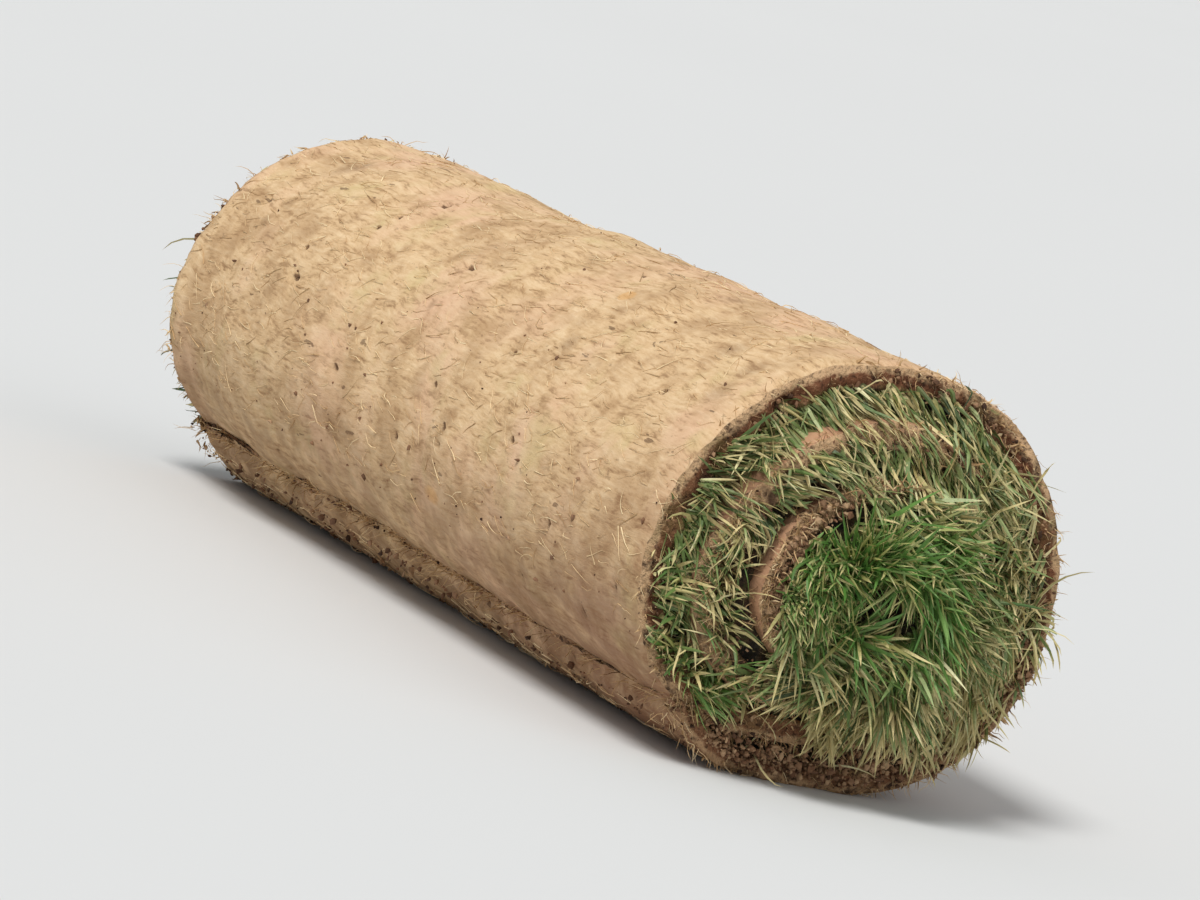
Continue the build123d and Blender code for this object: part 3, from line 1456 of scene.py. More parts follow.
@dataclass
class EndFace:
    """How far the cut turns and the core stand out at one end, looked up by place across the roll."""

    winding: Winding
    end: End
    cell: float = 0.002
    margin: float = 0.03
    samples: tuple[int, int] = (4000, 20)
    nothing_there: float = -0.05

    def __post_init__(self) -> None:
        """Fill the look-up table from samples all over the strip's cut face."""
        size = self.winding.size
        self.corner = np.array([size.low.y - self.margin, size.low.z - self.margin])
        across = size.width + 2 * self.margin
        upright = size.high.z - size.low.z + 2 * self.margin
        self.shape = (int(across / self.cell) + 1, int(upright / self.cell) + 1)
        self.table = np.full(self.shape, self.nothing_there)
        along = np.repeat(np.linspace(0, self.winding.length, self.samples[0]), self.samples[1])
        depth = np.tile(np.linspace(0, size.pitch, self.samples[1]), self.samples[0])
        column, row = self._cells(self.winding.place(along, depth))
        stands = self.winding.cut_edge(along, self.end) - size.rim(self.end)
        self.table[column, row] = self.end.value * stands
        grid = np.stack(np.meshgrid(*(np.arange(n) for n in self.shape), indexing="ij"), axis=-1)
        away = np.linalg.norm(self.corner + grid * self.cell - self.winding.axis, axis=-1)
        self.table = np.where(away < size.core_radius, self.core_out(away), self.table)

    def core_out(self, radius: Array) -> Array:
        """Find how far the core stands out of the rim.

        Args:
            radius: distances from the roll's axis.

        Returns:
            One distance for each of them.
        """
        size = self.winding.size
        if self.end is End.FAR:
            return np.full_like(radius, -size.far_share * size.full_slide)
        return size.full_slide + size.core_bulge * (1 - smoothstep(radius, 0.0, size.dome_radius))

    def _cells(self, places: Array) -> Pair:
        """Table cells of places in Y and Z."""
        cells = ((places - self.corner) / self.cell).round().astype(int)
        return tuple(np.clip(cells[:, i], 0, self.shape[i] - 1) for i in range(2))

    def x_at(self, places: Array) -> Array:
        """Where the end's face lies along X at places in Y and Z."""
        return self.winding.size.rim(self.end) + self.end.value * self.table[self._cells(places)]


@dataclass
class Habit:
    """How each blade of a piece grows.

    Neighbours share a tuft's direction, and each blade strays from it. Ring is 1 in the wound layers
    and 0 in the core, lean is away from the roll's axis and comb goes round it. The rest say how near
    the bare arc a blade is, on which side it stays, how far it may cross, and its height over the face.
    """

    tuft: Array
    stray: Array
    ring: Array
    lean: Array
    comb: Array
    bare: Array
    beside: Array
    outside: Array
    over_border: Array
    clearance: Array


@dataclass
class BareArc:
    """The stretch of the third layer's edge that shows bare, beside a gap in the grass."""

    winding: Winding
    patches: ValueNoise
    middle: float = math.radians(168)
    spread: float = math.radians(38)
    inner: float = 0.046
    outer: float = 0.0715
    soft: float = 0.0025
    grass_inside: float = 0.049
    grass_outside: float = 0.066
    rooted_beyond: float = 0.055
    patch_length: float = 0.024

    def beside(self, angle: Array) -> Array:
        """How near angles round the roll's axis are to the arc's middle, from 0 to 1."""
        return bell(angle, self.middle, self.spread)

    def bareness(self, places: Array) -> Array:
        """Find how much the grass leaves the edge in view.

        Args:
            places: where the grass roots.

        Returns:
            A value from 0 to 1 for each place.
        """
        angle, radius = self.winding.polar(places)
        patchy = smoothstep(self.patches.at(places, self.patch_length, 2), -0.85, -0.2)
        band = smoothstep(radius, self.inner - self.soft, self.inner + self.soft)
        band = band * (1 - smoothstep(radius, self.outer - self.soft, self.outer + self.soft))
        return band * patchy * self.beside(angle)

    def clear(self, places: Array, habit: Habit) -> Array:
        """Move points off the arc, back to the side on which their blades root.

        Args:
            places: points, one for each blade.
            habit: how the blades grow.

        Returns:
            The moved points.
        """
        angle, radius = self.winding.polar(places)
        held = smoothstep(self.beside(angle), 0.25, 0.7)
        pushed_out = np.maximum(radius, self.grass_outside - habit.over_border)
        pushed_in = np.minimum(radius, self.grass_inside + habit.over_border)
        wanted = radius + held * (np.where(habit.outside, pushed_out, pushed_in) - radius)
        share = wanted / np.maximum(radius, 1e-6)
        yz = self.winding.axis + (places[:, 1:] - self.winding.axis) * share[:, None]
        return np.column_stack([places[:, 0], yz])


@dataclass
class GrassEnd:
    """Grass that stands out at one end of the roll, tangled in tufts and bent down by its weight."""

    winding: Winding
    end: End
    blades: int
    straw: int
    stems: int
    segments: int = 5
    lengths: Span = (0.012, 0.040)
    widths: Span = (0.0011, 0.0024)
    sinks: Span = (0.002, 0.008)
    stem_radii: Span = (0.072, 0.096)
    stem_lengths: Span = (0.022, 0.045)
    stem_widths: Span = (0.0011, 0.0020)
    stem_fold: float = 0.3
    stem_lowest: float = 0.012
    stem_bend: float = 0.16
    stem_sag: float = 0.12
    fold: float = 0.22
    droop: float = 0.55
    comb: float = 0.3
    tangle: float = 1.15
    stiffness: float = 0.62
    tuft_length: float = 0.019
    stray: float = 0.32
    border_give: float = 0.0025
    clearances: Span = (0.0004, 0.0050)
    tail_margin: float = 0.004
    bunch_length: float = 0.018
    clump_length: float = 0.016
    brown_length: float = 0.03
    core_share: float = 0.34
    core_flatness: float = 0.88
    second_layer_rim: float = 0.083
    second_layer_soft: float = 0.003
    leaning_ring: Span = (0.07, 0.10)
    dry_ring: Span = (0.07, 0.09)
    shaded_core: Span = (0.025, 0.05)
    parting: float = 0.014
    trodden: float = 0.6
    trodden_up_to: Span = (0.014, 0.036)
    worn_up_to: Span = (0.02, 0.05)
    eye: float = 0.012
    fresh_across: float = -0.006
    fresh_up: float = 0.016
    fresh_from: float = 0.018
    fresh_to: float = 0.056
    fresh_side: float = math.radians(208)
    fresh_spread: float = math.radians(30)
    end_reach: float = 0.026
    side_reach: float = 0.012
    box_give: float = 0.012
    lowest: float = 0.0015
    roundest: float = 0.96
    outline_give: float = 0.06
    seed: int = 31

    def __post_init__(self) -> None:
        """Look up the face that the blades grow from and lie over."""
        self.face = EndFace(self.winding, self.end)
        self.arc = BareArc(self.winding, ValueNoise(self.seed + 9))

    def away(self, places: Array) -> Array:
        """Directions away from the roll's axis at places."""
        return unit(np.column_stack([np.zeros(len(places)), places[:, 1:] - self.winding.axis]))

    def combed(self, places: Array) -> Array:
        """Directions round the roll's axis at places, the way the grass is combed."""
        away = self.away(places)
        return np.column_stack([np.zeros(len(places)), away[:, 2], -away[:, 1]])

    def roots(self, rng: Rng, count: int) -> Pair:
        """Draw places where blades leave the pressed grass.

        Args:
            rng: random source.
            count: number of blades.

        Returns:
            The places, and 1 for those in the core or 0 for those in the wound layers.
        """
        size = self.winding.size
        many = 3 * count
        in_core = rng.random(many) < self.core_share
        along = rng.uniform(self.tail_margin, self.winding.length, many)
        in_outer_turn = along < self.winding.starts[HalfTurn.SECOND_UNDER]
        shallowest = np.where(in_outer_turn, 0.5, 0.35) * size.mat
        depth = size.pitch - (size.pitch - shallowest) * rng.random(many) ** 0.85
        angle = rng.uniform(0, 2 * math.pi, many)
        radius = size.core_radius * np.sqrt(rng.uniform(0.07, 1.0, many))
        across = radius * np.cos(angle)
        upright = size.axis_height + self.core_flatness * radius * np.sin(angle)
        yz = np.where(in_core[:, None], np.column_stack([across, upright]), self.winding.place(along, depth))
        sink = rng.uniform(*self.sinks, many)
        core_face = size.rim(self.end) + self.end.value * self.face.core_out(radius)
        x = np.where(in_core, core_face, self.winding.cut_edge(along, self.end))
        places = np.column_stack([x - self.end.value * sink, yz])
        bunched = ValueNoise(self.seed + 5).at(places, self.bunch_length, 2)
        trodden = self.trodden * (1 - smoothstep(places[:, 2], *self.trodden_up_to))
        worn = (self.arc.bareness(places) + trodden) * (1 - in_core)
        # Of three times as many places as needed, bunched ones are kept first and worn ones last.
        kept = np.argsort(rng.random(many) - 0.6 * bunched + 2.0 * worn)[:count]
        return places[kept], in_core[kept].astype(float)

    def habit(self, rng: Rng, roots: Array, core: Array) -> Habit:
        """Work out how blades grow at their places.

        Args:
            rng: random source.
            roots: where the blades start.
            core: 1 for blades in the core, where the comb is weaker.

        Returns:
            How each blade grows.
        """
        count = len(roots)
        noise = ValueNoise(self.seed)
        tuft = np.column_stack([noise.at(roots + shift, self.tuft_length, 2) for shift in (0.0, 0.5, 1.0)])
        stray = rng.normal(0, self.stray, (count, 3))
        over_border = np.abs(rng.normal(0, self.border_give, count))
        clearance = rng.uniform(*self.clearances, count)
        ring = 1 - core[:, None]
        angle, distance = self.winding.polar(roots)
        radius = distance[:, None]
        parting = np.exp(-radius / self.parting)
        bare = self.arc.bareness(roots)[:, None] * ring
        rim, soft = self.second_layer_rim, self.second_layer_soft
        second_layer = 1 - smoothstep(radius, rim - soft, rim + soft)
        beside = self.arc.beside(angle)[:, None] * second_layer
        # The wound layers' grass leans inwards, most near the rim and least beside the bare arc.
        leaning = 0.10 + 0.42 * smoothstep(radius, *self.leaning_ring)
        inwards = ring * (leaning * (1 - beside) + 0.10 * beside)
        return Habit(
            tuft=tuft,
            stray=stray,
            ring=ring,
            lean=(1 - ring) * (0.08 + 1.5 * parting) - inwards * (1 - bare),
            comb=self.comb * (0.4 + ring) * (1 - 0.8 * parting) + 0.5 * bare,
            bare=bare[:, 0],
            beside=(beside * ring)[:, 0],
            outside=distance > self.arc.rooted_beyond,
            over_border=over_border,
            clearance=clearance,
        )

    def grow(self, rng: Rng, roots: Array, lengths: Array, core: Array) -> Array:
        """Grow blades step by step from their roots.

        Args:
            rng: random source.
            roots: where the blades start.
            lengths: their lengths, before wear near the arc and the floor.
            core: 1 for blades in the core.

        Returns:
            Points along each blade, of shape (n, segments + 1, 3).
        """
        habit = self.habit(rng, roots, core)
        bare, beside = habit.bare, habit.beside
        out = np.array([float(self.end.value), 0.0, 0.0])
        weight = np.array([0.0, 0.0, -self.droop]) * (0.75 + 0.5 * habit.ring)
        near_floor = 1 - smoothstep(roots[:, 2], *self.worn_up_to)
        worn = lengths * (1 - 0.5 * bare) * (1 - 0.3 * beside) * (1 - 0.4 * near_floor)
        step = (worn / self.segments)[:, None]
        upright = 0.8 - habit.ring * 0.25 - 0.4 * beside[:, None]
        start = out * upright + self.combed(roots) * habit.comb + self.away(roots) * habit.lean
        direction = unit(start + habit.tuft * 0.8 + habit.stray)
        points = [roots]
        for _ in range(self.segments):
            here = points[-1]
            flow = out * 0.10 + self.combed(here) * habit.comb + weight + self.away(here) * habit.lean
            pull = unit(flow + habit.tuft * self.tangle + habit.stray)
            direction = unit(direction * self.stiffness + pull * (1 - self.stiffness))
            following = self.arc.clear(here + direction * step, habit)
            over_face = self.end.value * (self.face.x_at(following[:, 1:]) - following[:, 0])
            # A blade that would dip into the end's face climbs over it.
            climb = np.clip(over_face + habit.clearance, 0, 0.9 * step[:, 0]) * (1 - bare)
            points.append(following + out * climb[:, None])
        return self.keep_in(np.stack(points, axis=1))

    def keep_in(self, places: Array) -> Array:
        """Bend blades so that they stay off the floor and close to the roll.

        Args:
            places: points along the blades.

        Returns:
            The moved points.
        """
        size = self.winding.size
        margin = np.array([self.end_reach, self.side_reach, self.side_reach])
        low, high, give = np.array(size.low) - margin, np.array(size.high) + margin, self.box_give
        low[2] = self.lowest
        # Points are eased into the roll's box with its margins first, and then into its oval outline.
        over = np.maximum(places - (high - give), 0)
        under = np.maximum((low + give) - places, 0) * np.array([1.0, 1.0, 0.0])
        eased = places - over + give * (1 - np.exp(-over / give)) + under - give * (1 - np.exp(-under / give))
        middle = np.array([0.0, size.high.z / 2])
        half = np.array([size.width / 2, size.high.z / 2])
        across = (eased[..., 1:] - middle) / half
        reach = np.linalg.norm(across, axis=-1, keepdims=True)
        beyond = np.maximum(reach - self.roundest, 0)
        held = reach - beyond + self.outline_give * (1 - np.exp(-beyond / self.outline_give))
        eased[..., 1:] = middle + across * half * held / np.maximum(reach, 1e-6)
        return np.maximum(eased, low)

    def shades(self, rng: Rng, roots: Array, core: Array) -> dict[str, Array]:
        """Draw how light, how dry and how fresh each blade is.

        Args:
            rng: random source.
            roots: where the blades start.
            core: 1 for blades in the core.

        Returns:
            The three values of each blade, by name.
        """
        count = len(roots)
        ring = 1 - core
        clump = ValueNoise(self.seed + 7).at(roots, self.clump_length, 2)
        worn = ValueNoise(self.seed + 8).at(roots, self.brown_length, 2)
        fresh_middle = self.winding.axis + np.array([self.fresh_across, self.fresh_up])
        away = np.linalg.norm(roots[:, 1:] - fresh_middle, axis=1)
        angle, radius = self.winding.polar(roots)
        fresh_tuft = bell(angle, self.fresh_side, self.fresh_spread) * smoothstep(clump, -0.2, 0.4)
        fresh = core * (1 - smoothstep(away, self.fresh_from, self.fresh_to)) + ring * fresh_tuft
        at_bottom = ring * smoothstep(-np.sin(angle), 0.35, 0.9)
        at_right = ring * smoothstep(np.cos(angle), 0.5, 0.95) * smoothstep(radius, *self.dry_ring)
        at_left = ring * smoothstep(-np.cos(angle), 0.6, 0.95)
        in_eye = bell(radius, 0.0, self.eye)
        shaded = core * (0.3 * in_eye + 0.16 * smoothstep(away, *self.shaded_core)) + 0.15 * at_left
        brown = 0.4 * smoothstep(worn, 0.1, 0.7) + 0.35 * at_bottom + 0.3 * at_right
        return {
            "tone": np.clip(0.47 + 0.32 * clump - shaded + rng.normal(0, 0.22, count), 0, 1),
            "dry": rng.random(count) ** 1.4 - 0.4 * fresh + brown,
            "fresh": np.clip(fresh + rng.normal(0.06, 0.2, count), 0, 1),
        }

    def make_blades(self, name: str, count: int, material: Material, seed: int) -> None:
        """Build one piece of blades.

        Args:
            name: name of the piece.
            count: number of blades.
            material: their finish.
            seed: number that fixes the draws.
        """
        rng = np.random.default_rng(seed)
        roots, core = self.roots(rng, count)
        shortest, longest = self.lengths
        spread = (longest - shortest) * (0.8 + 0.2 * core)
        lengths = shortest + spread * rng.random(count) ** (1.6 - 0.5 * core)
        paths = self.grow(rng, roots, lengths, core)
        widths = rng.uniform(*self.widths, count)
        hints = any_way(rng, count)
        taper = 1 - 0.7 * np.linspace(0, 1, self.segments + 1)[:-1] ** 2.2
        mesh = ribbons(rng, paths, hints, widths, self.fold, taper)
        mesh.values = per_vertex(self.shades(rng, roots, core), mesh.vertices) | mesh.values
        mesh.make(name, [material])

    def make_stems(self, name: str, material: Material) -> None:
        """Build the long pale stems that stand up in the right side of the ring, and a few elsewhere.

        Args:
            name: name of the piece.
            material: their finish.
        """
        rng = np.random.default_rng(self.seed + 3)
        count = self.stems
        at_right = rng.random(count) < 0.6
        angle = np.where(at_right, rng.normal(0.0, 0.35, count), rng.uniform(0, 2 * math.pi, count))
        radius = rng.uniform(*self.stem_radii, count)
        yz = self.winding.axis + np.column_stack([radius * np.cos(angle), radius * np.sin(angle)])
        yz[:, 1] = np.maximum(yz[:, 1], self.stem_lowest)
        roots = np.column_stack([self.face.x_at(yz), yz])
        upright = np.where(at_right, 1.0, 0.3)[:, None] * np.array([0.0, -0.12, 1.0])
        outward = np.array([0.3 * self.end.value, 0.0, 0.0])
        direction = unit(upright + outward + rng.normal(0, self.stray, (count, 3)))
        lengths = rng.uniform(*self.stem_lengths, count)
        bend = rng.normal(0, self.stem_bend, (count, 3)) - np.array([0.0, 0.0, self.stem_sag])
        points = [roots]
        for _ in range(self.segments):
            direction = unit(direction + bend)
            points.append(points[-1] + direction * lengths[:, None] / self.segments)
        paths = self.keep_in(np.stack(points, axis=1))
        widths = rng.uniform(*self.stem_widths, count)
        taper = 1 - 0.6 * np.linspace(0, 1, self.segments + 1)[:-1] ** 2
        hints = any_way(rng, count)
        mesh = ribbons(rng, paths, hints, widths, self.stem_fold, taper)
        shades = {
            "tone": rng.uniform(0.55, 1.0, count),
            "dry": rng.uniform(0.6, 1.2, count),
            "fresh": np.zeros(count),
        }
        mesh.values = per_vertex(shades, mesh.vertices) | mesh.values
        mesh.make(name, [material])

    def make(self, green: Material, straw: Material) -> None:
        """Build the stems, the green blades and the straw ones of this end.

        Args:
            green: finish of the green blades.
            straw: finish of the straw and the stems.
        """
        side = self.end.name.lower()
        self.make_stems(f"pale_stems_{side}", straw)
        self.make_blades(f"green_blades_{side}", self.blades, green, self.seed)
        self.make_blades(f"straw_blades_{side}", self.straw, straw, self.seed + 1)


@dataclass(frozen=True)
class FibreKind:
    """One kind of loose roots: the piece's name, how it is traced, how many, how wide and how pale."""

    name: str
    trace: Callable[[Rng, int], Pair]
    count: int
    width: float
    tone: float


@dataclass
class LooseFibres(OnSurface):
    """Roots and straw that lie on the root face and hang out of the cut edges and the loose end."""

    on_face: int = 3400
    on_edges: int = 2000
    stubs: int = 2800
    on_tail: int = 900
    on_buried: int = 700
    face_lengths: Span = (0.005, 0.020)
    edge_lengths: Span = (0.005, 0.015)
    tail_lengths: Span = (0.004, 0.016)
    buried_lengths: Span = (0.003, 0.011)
    curl: float = 0.3
    sag: float = 0.15
    stub_share: float = 0.55
    arch: float = 0.0022
    root_depth: float = 0.004
    overhang: float = 0.004
    behind_tail: Span = (0.001, 0.007)
    buried_spread: float = 0.05
    buried_back: Span = (0.0, 0.014)
    segments: int = 4
    fold: float = 0.8
    path_floor: float = 0.0007
    above_floor: float = 0.0003
    seed: int = 51

    def hang(self, rng: Rng, here: Array, direction: Array, lengths: Span) -> Pair:
        """Trace roots that curl a little as they hang.

        Args:
            rng: random source.
            here: where they start.
            direction: directions in which they set off.
            lengths: their least and greatest length.

        Returns:
            Points along each root, of shape (n, segments + 1, 3), and a width direction for each.
        """
        step = rng.uniform(*lengths, len(here))[:, None]
        drop = np.array([0.0, 0.0, -self.sag])
        points = [here]
        for _ in range(self.segments):
            direction = unit(direction + rng.normal(0, self.curl, here.shape) + drop)
            here = here + direction * step / self.segments
            points.append(here)
        return np.stack(points, axis=1), any_way(rng, len(here))

    def face_paths(self, rng: Rng, count: int) -> Pair:
        """Trace roots that lie on the root face, a few of them in low arches.

        Args:
            rng: random source.
            count: number of roots.

        Returns:
            The paths, and a width direction for each.
        """
        size = self.winding.size
        along = rng.uniform(self.root_depth, self.strewn_length, count)
        x = self.across(rng, count, self.overhang)
        length = rng.uniform(*self.face_lengths, count)
        heading = rng.normal(0, 0.3, count) + np.where(rng.random(count) < 0.5, 0, math.pi)
        stands = rng.random(count) ** 6 * self.arch
        points = []
        for step in range(self.segments + 1):
            height = self.hair + stands * math.sin(math.pi * step / self.segments)
            here = np.clip(x, size.far_rim - self.overhang, size.near_rim + self.overhang)
            points.append(self.surface.place(np.maximum(along, 0.001), here, height))
            heading = heading + rng.normal(0, 0.22, count)
            x = x + np.cos(heading) * length / self.segments
            along = along + np.sin(heading) * length / self.segments
        normals = self.winding.normal(np.maximum(along, 0.0))
        return np.stack(points, axis=1), np.column_stack([np.zeros(count), -normals[:, 1], normals[:, 0]])

    def edge_paths(self, rng: Rng, count: int, deepest: float = 1.0) -> Pair:
        """Trace roots that hang out of the cut edges.

        Args:
            rng: random source.
            count: number of roots.
            deepest: greatest depth, in thicknesses of the mat.

        Returns:
            The paths, and a width direction for each.
        """
        end = np.where(rng.random(count) < 0.65, 1.0, -1.0)
        along = rng.uniform(0.0, self.winding.starts[HalfTurn.THIRD_UNDER], count)
        depth = self.winding.size.mat * rng.uniform(0.0, deepest, count)
        near, far = self.winding.cut_edges(along)
        rim = np.where(end > 0, near, far)
        here = self.winding.at(rim - end * self.root_depth, along, depth)
        direction = np.column_stack([end * 0.8, -self.winding.normal(along) * 0.3])
        direction = unit(direction + rng.normal(0, 0.45, (count, 3)))
        return self.hang(rng, here, direction, self.edge_lengths)

    def stub_paths(self, rng: Rng, count: int) -> Pair:
        """Trace short, thick stems in the cut edges."""
        paths, hints = self.edge_paths(rng, count, deepest=1.9)
        return paths[:, :1] + (paths - paths[:, :1]) * self.stub_share, hints

    def tail_paths(self, rng: Rng, count: int) -> Pair:
        """Trace roots that stick out along the loose end.

        Args:
            rng: random source.
            count: number of roots.

        Returns:
            The paths, and a width direction for each.
        """
        x = self.across(rng, count)
        along = self.surface.loose_edge(x) + rng.uniform(*self.behind_tail, count)
        depth = self.winding.size.mat * rng.uniform(0.6, 1.0, count)
        here = self.winding.at(x, along, depth)
        back = np.column_stack([np.zeros(count), -self.winding.forward(along)])
        direction = unit(back + rng.normal(0, 0.55, (count, 3)))
        return self.hang(rng, here, direction, self.tail_lengths)

    def buried_paths(self, rng: Rng, count: int) -> Pair:
        """Trace roots on the inner turns where they show at the near end.

        Args:
            rng: random source.
            count: number of roots.

        Returns:
            The paths, and a width direction for each.
        """
        arc, inner = (self.winding.starts[s] for s in (HalfTurn.CORE_UNDER, HalfTurn.THIRD_UNDER))
        along = np.where(rng.random(count) < 0.7, arc, inner) + rng.normal(0, self.buried_spread, count)
        depth = self.winding.size.mat * rng.uniform(-0.05, 0.4, count)
        back = np.where(depth < 0.0006, rng.uniform(*self.buried_back, count), 0.001)
        x = self.winding.cut_edge(along, End.NEAR) - back
        here = self.winding.at(x, along, depth)
        outward = np.column_stack([np.zeros(count), -self.winding.normal(along)])
        direction = unit(rng.normal(0, 0.6, (count, 3)) + outward * 0.5 + np.array([0.3, 0.0, 0.0]))
        return self.hang(rng, here, direction, self.buried_lengths)

    def make(self, material: Material) -> None:
        """Build all kinds of loose roots.

        Args:
            material: their finish.
        """
        kinds = (
            FibreKind("face_roots", self.face_paths, self.on_face, 0.00045, 0.78),
            FibreKind("edge_roots", self.edge_paths, self.on_edges, 0.00045, 0.66),
            FibreKind("edge_stubs", self.stub_paths, self.stubs, 0.0014, 0.40),
            FibreKind("tail_roots", self.tail_paths, self.on_tail, 0.0006, 0.45),
            FibreKind("buried_roots", self.buried_paths, self.on_buried, 0.0006, 0.5),
        )
        taper = np.linspace(1.0, 0.45, self.segments)
        for number, kind in enumerate(kinds):
            rng = np.random.default_rng(self.seed + number)
            paths, hints = kind.trace(rng, kind.count)
            paths[..., 2] = np.maximum(paths[..., 2], self.path_floor)
            widths = kind.width * rng.uniform(0.6, 1.4, kind.count)
            mesh = ribbons(rng, paths, hints, widths, self.fold, taper)
            mesh.vertices[:, 2] = np.maximum(mesh.vertices[:, 2], self.above_floor)
            tones = np.clip(rng.normal(kind.tone, 0.22, kind.count), 0, 1)
            mesh.values = per_vertex({"tone": tones}, mesh.vertices)
            mesh.make(kind.name, [material])


@dataclass(frozen=True)
class CrumbKind:
    """One kind of crumbs: how it is strewn, how many, their least radius and its growth, and their tone.

    The greater the rarity, the fewer of them are large.
    """

    strew: Callable[[Rng, int], Array]
    count: int
    smallest: float
    growth: float
    rarity: float
    tone: float


@dataclass
class Crumbs(OnSurface):
    """Crumbs of soil that cling to the root face, the cut edges, the grass and the loose end."""

    on_face: int = 60
    in_gouges: int = 150
    on_edges: int = 2500
    on_grass: int = 2000
    on_tail: int = 1300
    edge_stands: Span = (-0.0025, 0.001)
    arc_spread: float = 0.045
    arc_stands: Span = (-0.012, 0.0)
    bottom_stands: Span = (-0.001, 0.005)
    behind_lip: Span = (-0.001, 0.006)
    behind_tail: Span = (0.0, 0.05)
    flank_share: float = 0.08
    flank_start: float = 0.035
    flank_reach: float = 0.10
    above_floor: float = 0.0003
    seed: int = 71

    def lump(self) -> Pair:
        """Make a ball with twenty faces.

        Returns:
            Its corners and its triangles.
        """
        golden = (1 + math.sqrt(5)) / 2
        corners = []
        for a in (-1, 1):
            for b in (-golden, golden):
                corners += [(0, a, b), (a, b, 0), (b, 0, a)]
        points = unit(np.array(corners, float))
        gaps = np.linalg.norm(points[:, None] - points[None], axis=-1)
        near = (gaps > 0.1) & (gaps < 1.2)
        faces = []
        for a, b, c in combinations(range(len(points)), 3):
            if near[a, b] and near[b, c] and near[a, c]:
                outward = np.linalg.det(points[[a, b, c]]) > 0
                faces.append((a, b, c) if outward else (a, c, b))
        return points, np.array(faces)

    def face_places(self, rng: Rng, count: int) -> Array:
        """Strew crumbs over the face."""
        along = rng.uniform(0.0, self.strewn_length, count)
        return self.surface.place(along, self.across(rng, count), self.hair)

    def gouge_places(self, rng: Rng, count: int) -> Array:
        """Strew crumbs in the gouges."""
        spots = self.surface.spots[rng.integers(0, len(self.surface.spots), count)]
        return self.surface.place(*(spots[:, :2] + rng.normal(0, 0.55, (count, 2)) * spots[:, 2:]).T, 0.0)

    def edge_places(self, rng: Rng, count: int) -> Array:
        """Strew crumbs on the cut edges.

        Args:
            rng: random source.
            count: number of crumbs.

        Returns:
            Their places.
        """
        end = np.where(rng.random(count) < 0.6, 1.0, -1.0)
        along = rng.uniform(0.0, self.winding.starts[HalfTurn.THIRD_OVER], count)
        depth = self.winding.size.mat * rng.uniform(0.15, 1.05, count)
        near, far = self.winding.cut_edges(along)
        x = np.where(end > 0, near, far) + end * rng.uniform(*self.edge_stands, count)
        return self.winding.at(x, along, depth)

    def grass_places(self, rng: Rng, count: int) -> Array:
        """Strew crumbs in the near end's grass, along the bottom and the bare arc.

        Args:
            rng: random source.
            count: number of crumbs.

        Returns:
            Their places.
        """
        mat = self.winding.size.mat
        bottom = rng.random(count) < 0.68
        turn = self.winding.starts[HalfTurn.OUTER_OVER]
        on_arc = self.winding.starts[HalfTurn.CORE_UNDER]
        along_bottom = rng.uniform(0.1 * turn, turn, count)
        round_arc = on_arc + rng.normal(0, self.arc_spread, count)
        along = np.where(bottom, along_bottom, round_arc)
        depth = mat * np.where(bottom, rng.uniform(0.4, 1.7, count), rng.uniform(-0.05, 0.9, count))
        on_skin = rng.uniform(*self.arc_stands, count) * (depth < 0.1 * mat)
        stands = np.where(bottom, rng.uniform(*self.bottom_stands, count), on_skin)
        return self.winding.at(self.winding.cut_edge(along, End.NEAR) + stands, along, depth)

    def tail_places(self, rng: Rng, count: int) -> Array:
        """Strew crumbs along the loose end, and some of them further up the flank.

        Args:
            rng: random source.
            count: number of crumbs.

        Returns:
            Their places.
        """
        x = self.across(rng, count)
        lip = rng.random(count) < 0.6
        behind = np.where(lip, rng.uniform(*self.behind_lip, count), rng.uniform(*self.behind_tail, count))
        along = np.maximum(self.surface.loose_edge(x) + behind, 0.0)
        depth = np.where(lip, self.winding.size.mat * rng.uniform(0.6, 1.0, count), -self.hair)
        lowest = self.winding.starts[HalfTurn.SECOND_UNDER] + self.flank_start
        on_flank = self.surface.place(lowest - self.flank_reach * rng.random(count) ** 2, x, self.hair)
        on_lip = self.winding.at(x, along, depth)
        return np.where((rng.random(count) < self.flank_share)[:, None], on_flank, on_lip)

    def make(self, material: Material) -> None:
        """Build the crumbs.

        Args:
            material: their finish.
        """
        rng = np.random.default_rng(self.seed)
        points, faces = self.lump()
        kinds = (
            CrumbKind(self.face_places, self.on_face, 0.0004, 0.0011, 3, 0.42),
            CrumbKind(self.gouge_places, self.in_gouges, 0.0004, 0.0010, 2, 0.26),
            CrumbKind(self.edge_places, self.on_edges, 0.0005, 0.0015, 2, 0.32),
            CrumbKind(self.grass_places, self.on_grass, 0.0005, 0.0016, 2, 0.66),
            CrumbKind(self.tail_places, self.on_tail, 0.0004, 0.0014, 2.5, 0.36),
        )
        parts = []
        for kind in kinds:
            strewn = kind.strew(rng, kind.count)
            radii = kind.smallest + kind.growth * rng.random(kind.count) ** kind.rarity
            parts.append((strewn, radii, np.full(kind.count, kind.tone)))
        places, radii, tones = (np.concatenate(part) for part in zip(*parts))
        places[:, 2] = np.maximum(places[:, 2], radii * 1.3)
        count = len(places)
        tones = np.clip(tones + rng.normal(0, 0.24, count), 0, 1)
        shape = 1 + rng.uniform(-0.42, 0.42, (count, len(points), 1))
        flatten = rng.uniform(0.45, 1.25, (count, 1, 3))
        vertices = places[:, None] + points[None] * shape * flatten * radii[:, None, None]
        vertices[..., 2] = np.maximum(vertices[..., 2], self.above_floor)
        vertices = vertices.reshape(-1, 3)
        triangles = (faces[None] + np.arange(count)[:, None, None] * len(points)).reshape(-1, 3)
        mesh = PieceMesh(vertices, triangles, values=per_vertex({"tone": tones}, vertices))
        mesh.make("soil_crumbs", [material])


